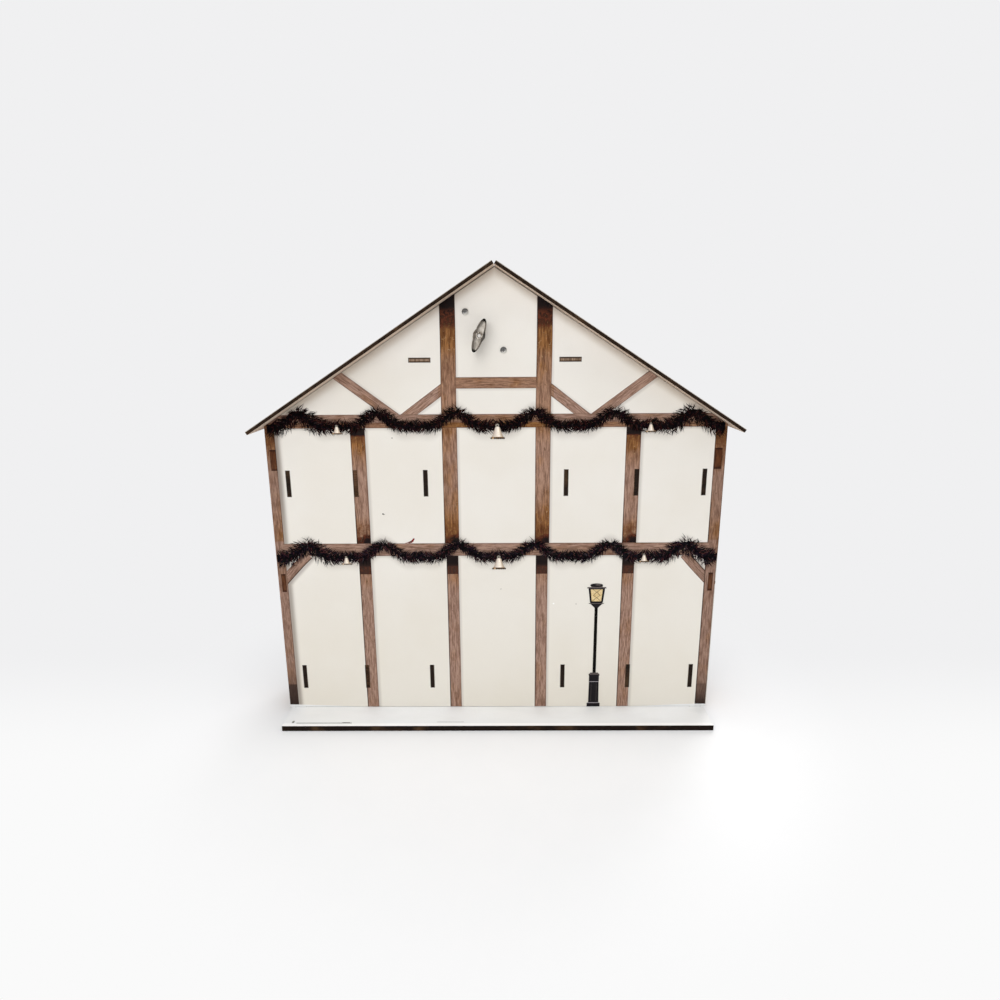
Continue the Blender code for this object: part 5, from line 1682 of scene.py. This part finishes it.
def crossRecess(work, centre, size, thickness):
    # A dark plus that stands for a screw's recess, facing the back.
    x, y, z = centre
    arm, half = size, size * 0.22
    outline = [(half, half), (half, arm), (-half, arm), (-half, half), (-arm, half), (-arm, -half),
               (-half, -half), (-half, -arm), (half, -arm), (half, -half), (arm, -half), (arm, half)]
    rings = []
    for depth in (y, y - thickness):
        rings.append([work.verts.new((x + a, depth, z + b)) for a, b in outline])
    work.faces.new(rings[0])
    work.faces.new(rings[1])
    for i in range(len(outline)):
        j = (i + 1) % len(outline)
        work.faces.new((rings[0][i], rings[0][j], rings[1][j], rings[1][i]))


def buildRecesses():
    work = bmesh.new()
    for name in ("movement_screw_upper", "movement_screw_lower"):
        low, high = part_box(name)
        middle = ((low[0] + high[0]) / 2, low[1] + 0.00012, (low[2] + high[2]) / 2)
        crossRecess(work, middle, 0.0013, 0.0002)
    bmesh.ops.recalc_face_normals(work, faces=work.faces)
    material, maker, place, _ = newMaterial("recessShadow")
    grain = maker.noise(place, 2400, 2.0, 0.5)
    tone = maker.mix(grain, linear((44, 44, 44)), linear((78, 78, 76)))
    finishMaterial(maker, tone, 0.5 + grain * 0.2, metallic=0.6)
    inks["recess"] = material
    newPiece("screw_recesses", meshFrom(work, "screw_recesses"), "house", "steel", "recess")


dressMovement()
buildRecesses()


def buildCombScrews():
    # Three domed screws that hold the comb to its block.
    low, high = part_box("comb_block")
    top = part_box("music_comb")[1][1]
    work = bmesh.new()
    profile = [(0.0, 0.0007), (0.0006, 0.00062), (0.0010, 0.0004), (0.0012, 0.0), (0.0, 0.0)]
    sides = 14
    turns = [2 * math.pi * i / sides for i in range(sides)]
    for share in (0.18, 0.5, 0.82):
        x = low[0] + (high[0] - low[0]) * share
        z = (low[2] + high[2]) / 2
        rings = []
        for radius, rise in profile:
            y = top + 0.0001 + rise
            spots = [(x + radius * math.cos(turn), y, z + radius * math.sin(turn)) for turn in turns]
            rings.append([work.verts.new(spot) for spot in (spots if radius else [(x, y, z)])])
        for here, after in zip(rings, rings[1:]):
            for i in range(sides):
                j = (i + 1) % sides
                corners = [here[i % len(here)], here[j % len(here)],
                           after[j % len(after)], after[i % len(after)]]
                work.faces.new(list(dict.fromkeys(corners)))
    bmesh.ops.recalc_face_normals(work, faces=work.faces)
    mesh = meshFrom(work, "comb_screws")
    mesh.shade_smooth()
    newPiece("comb_screws", mesh, "house", "steel", "screw")


buildCombScrews()
print("movement dressed")


def seenRays(maker):
    # 1 for the rays that show the background itself: the camera's, and those in gloss or glass.
    rays = maker.outputs(maker.add("ShaderNodeLightPath"))
    return maker.most(rays["Is Camera Ray"], maker.most(rays["Is Glossy Ray"], rays["Is Transmission Ray"]))


def endInMix(maker, factor, first, second, kind):
    # Ends a tree in a mix of two shaders.
    mix = maker.add("ShaderNodeMixShader", {0: factor})
    maker.link(first, mix.inputs[1])
    maker.link(second, mix.inputs[2])
    maker.link(mix, maker.add(kind).inputs[0])


def buildStage():
    # A pale floor that melts into the background far from the object, and keeps its shadow near it. Its own
    # colour carries painted shade, deeper behind and beside the house.
    mesh = bpy.data.meshes.new("floor")
    reach = 6.0
    corners = [(-reach, -reach, 0), (reach, -reach, 0), (reach, reach, 0), (-reach, reach, 0)]
    mesh.from_pydata(corners, [], [(0, 1, 2, 3)])
    floor = linkObject("floor", mesh)
    material, maker, place, _ = newMaterial("paleFloor")
    distance = maker.vector("LENGTH", place)
    front = maker.rise(-maker.separate(place)[1], -0.10, 0.12)
    grain = maker.noise(place, 30, 3.0, 0.5)
    # Painted shade: a deeper floor tone behind and beside the house, paler in front
    shadedFloor = maker.mix(grain, linear((226, 227, 229)), linear((229, 230, 232)))
    paler = maker.mix(grain, linear((245, 246, 247)), linear((248, 248, 249)))
    board = {"Base Color": maker.mix(front, shadedFloor, paler), "Roughness": 0.7}
    near = front * maker.fall(distance, 0.9, 2.4)
    away = maker.mix(near, linear(light["background"]), linear(light["foreground"]))
    far = maker.rise(distance, 0.17, 0.34) * seenRays(maker)
    endInMix(maker, far, maker.add("ShaderNodeBsdfPrincipled", board),
             maker.add("ShaderNodeEmission", {"Color": away, "Strength": 1.0}), "ShaderNodeOutputMaterial")
    mesh.materials.append(material)


def buildWorld():
    # An even white light, with the backdrop's own grey where it is seen.
    world = bpy.data.worlds.new("studio")
    bpy.context.scene.world = world
    world.use_nodes = True
    world.node_tree.nodes.clear()
    maker = Nodes(world.node_tree)
    ambient = maker.add("ShaderNodeBackground", {"Color": (1.0, 1.0, 1.0), "Strength": light["world"]})
    backdrop = maker.add("ShaderNodeBackground", {"Color": linear(light["background"]), "Strength": 1.0})
    endInMix(maker, seenRays(maker), ambient, backdrop, "ShaderNodeOutputWorld")


def areaLight(name, spot, target, size, energy):
    lampData = bpy.data.lights.new(name, "AREA")
    lampData.shape = "DISK"
    lampData.size = size
    lampData.energy = energy
    obj = linkObject(name, lampData)
    obj.location = spot
    obj.rotation_euler = (Vector(target) - Vector(spot)).to_track_quat("-Z", "Y").to_euler()


def buildCamera():
    # The photograph's own camera, from its fitted place and angles.
    yaw, pitch, roll = camera["yaw"], camera["pitch"], camera["roll"]
    ahead = Vector((-math.sin(yaw) * math.cos(pitch), math.cos(yaw) * math.cos(pitch), -math.sin(pitch)))
    level = Vector((math.cos(yaw), math.sin(yaw), 0))
    upward = level.cross(ahead)
    right = level * math.cos(roll) + upward * math.sin(roll)
    up = upward * math.cos(roll) - level * math.sin(roll)
    data = bpy.data.cameras.new("camera")
    data.lens = camera["lens"]
    data.sensor_width = camera["sensor"]
    data.clip_start = 0.01
    obj = linkObject("camera", data)
    turn = Matrix((right, up, -ahead)).transposed()
    obj.matrix_world = Matrix.Translation(camera["place"]) @ turn.to_4x4()
    bpy.context.scene.camera = obj


buildStage()
buildWorld()
areaLight("keyLight", (-0.45, -1.60, 0.95), (0.0, 0.0, 0.18), 1.3, light["key"])
areaLight("fillLight", (0.70, 1.60, 1.05), (0.0, 0.0, 0.18), 1.3, light["fill"])
areaLight("topLight", (0.0, -0.35, 2.0), (0.0, 0.0, 0.0), 1.4, light["top"])
buildCamera()
render = bpy.context.scene.render
render.resolution_x = 1000
render.resolution_y = 1000
bpy.context.scene.view_settings.view_transform = "Standard"

print("scene ready")
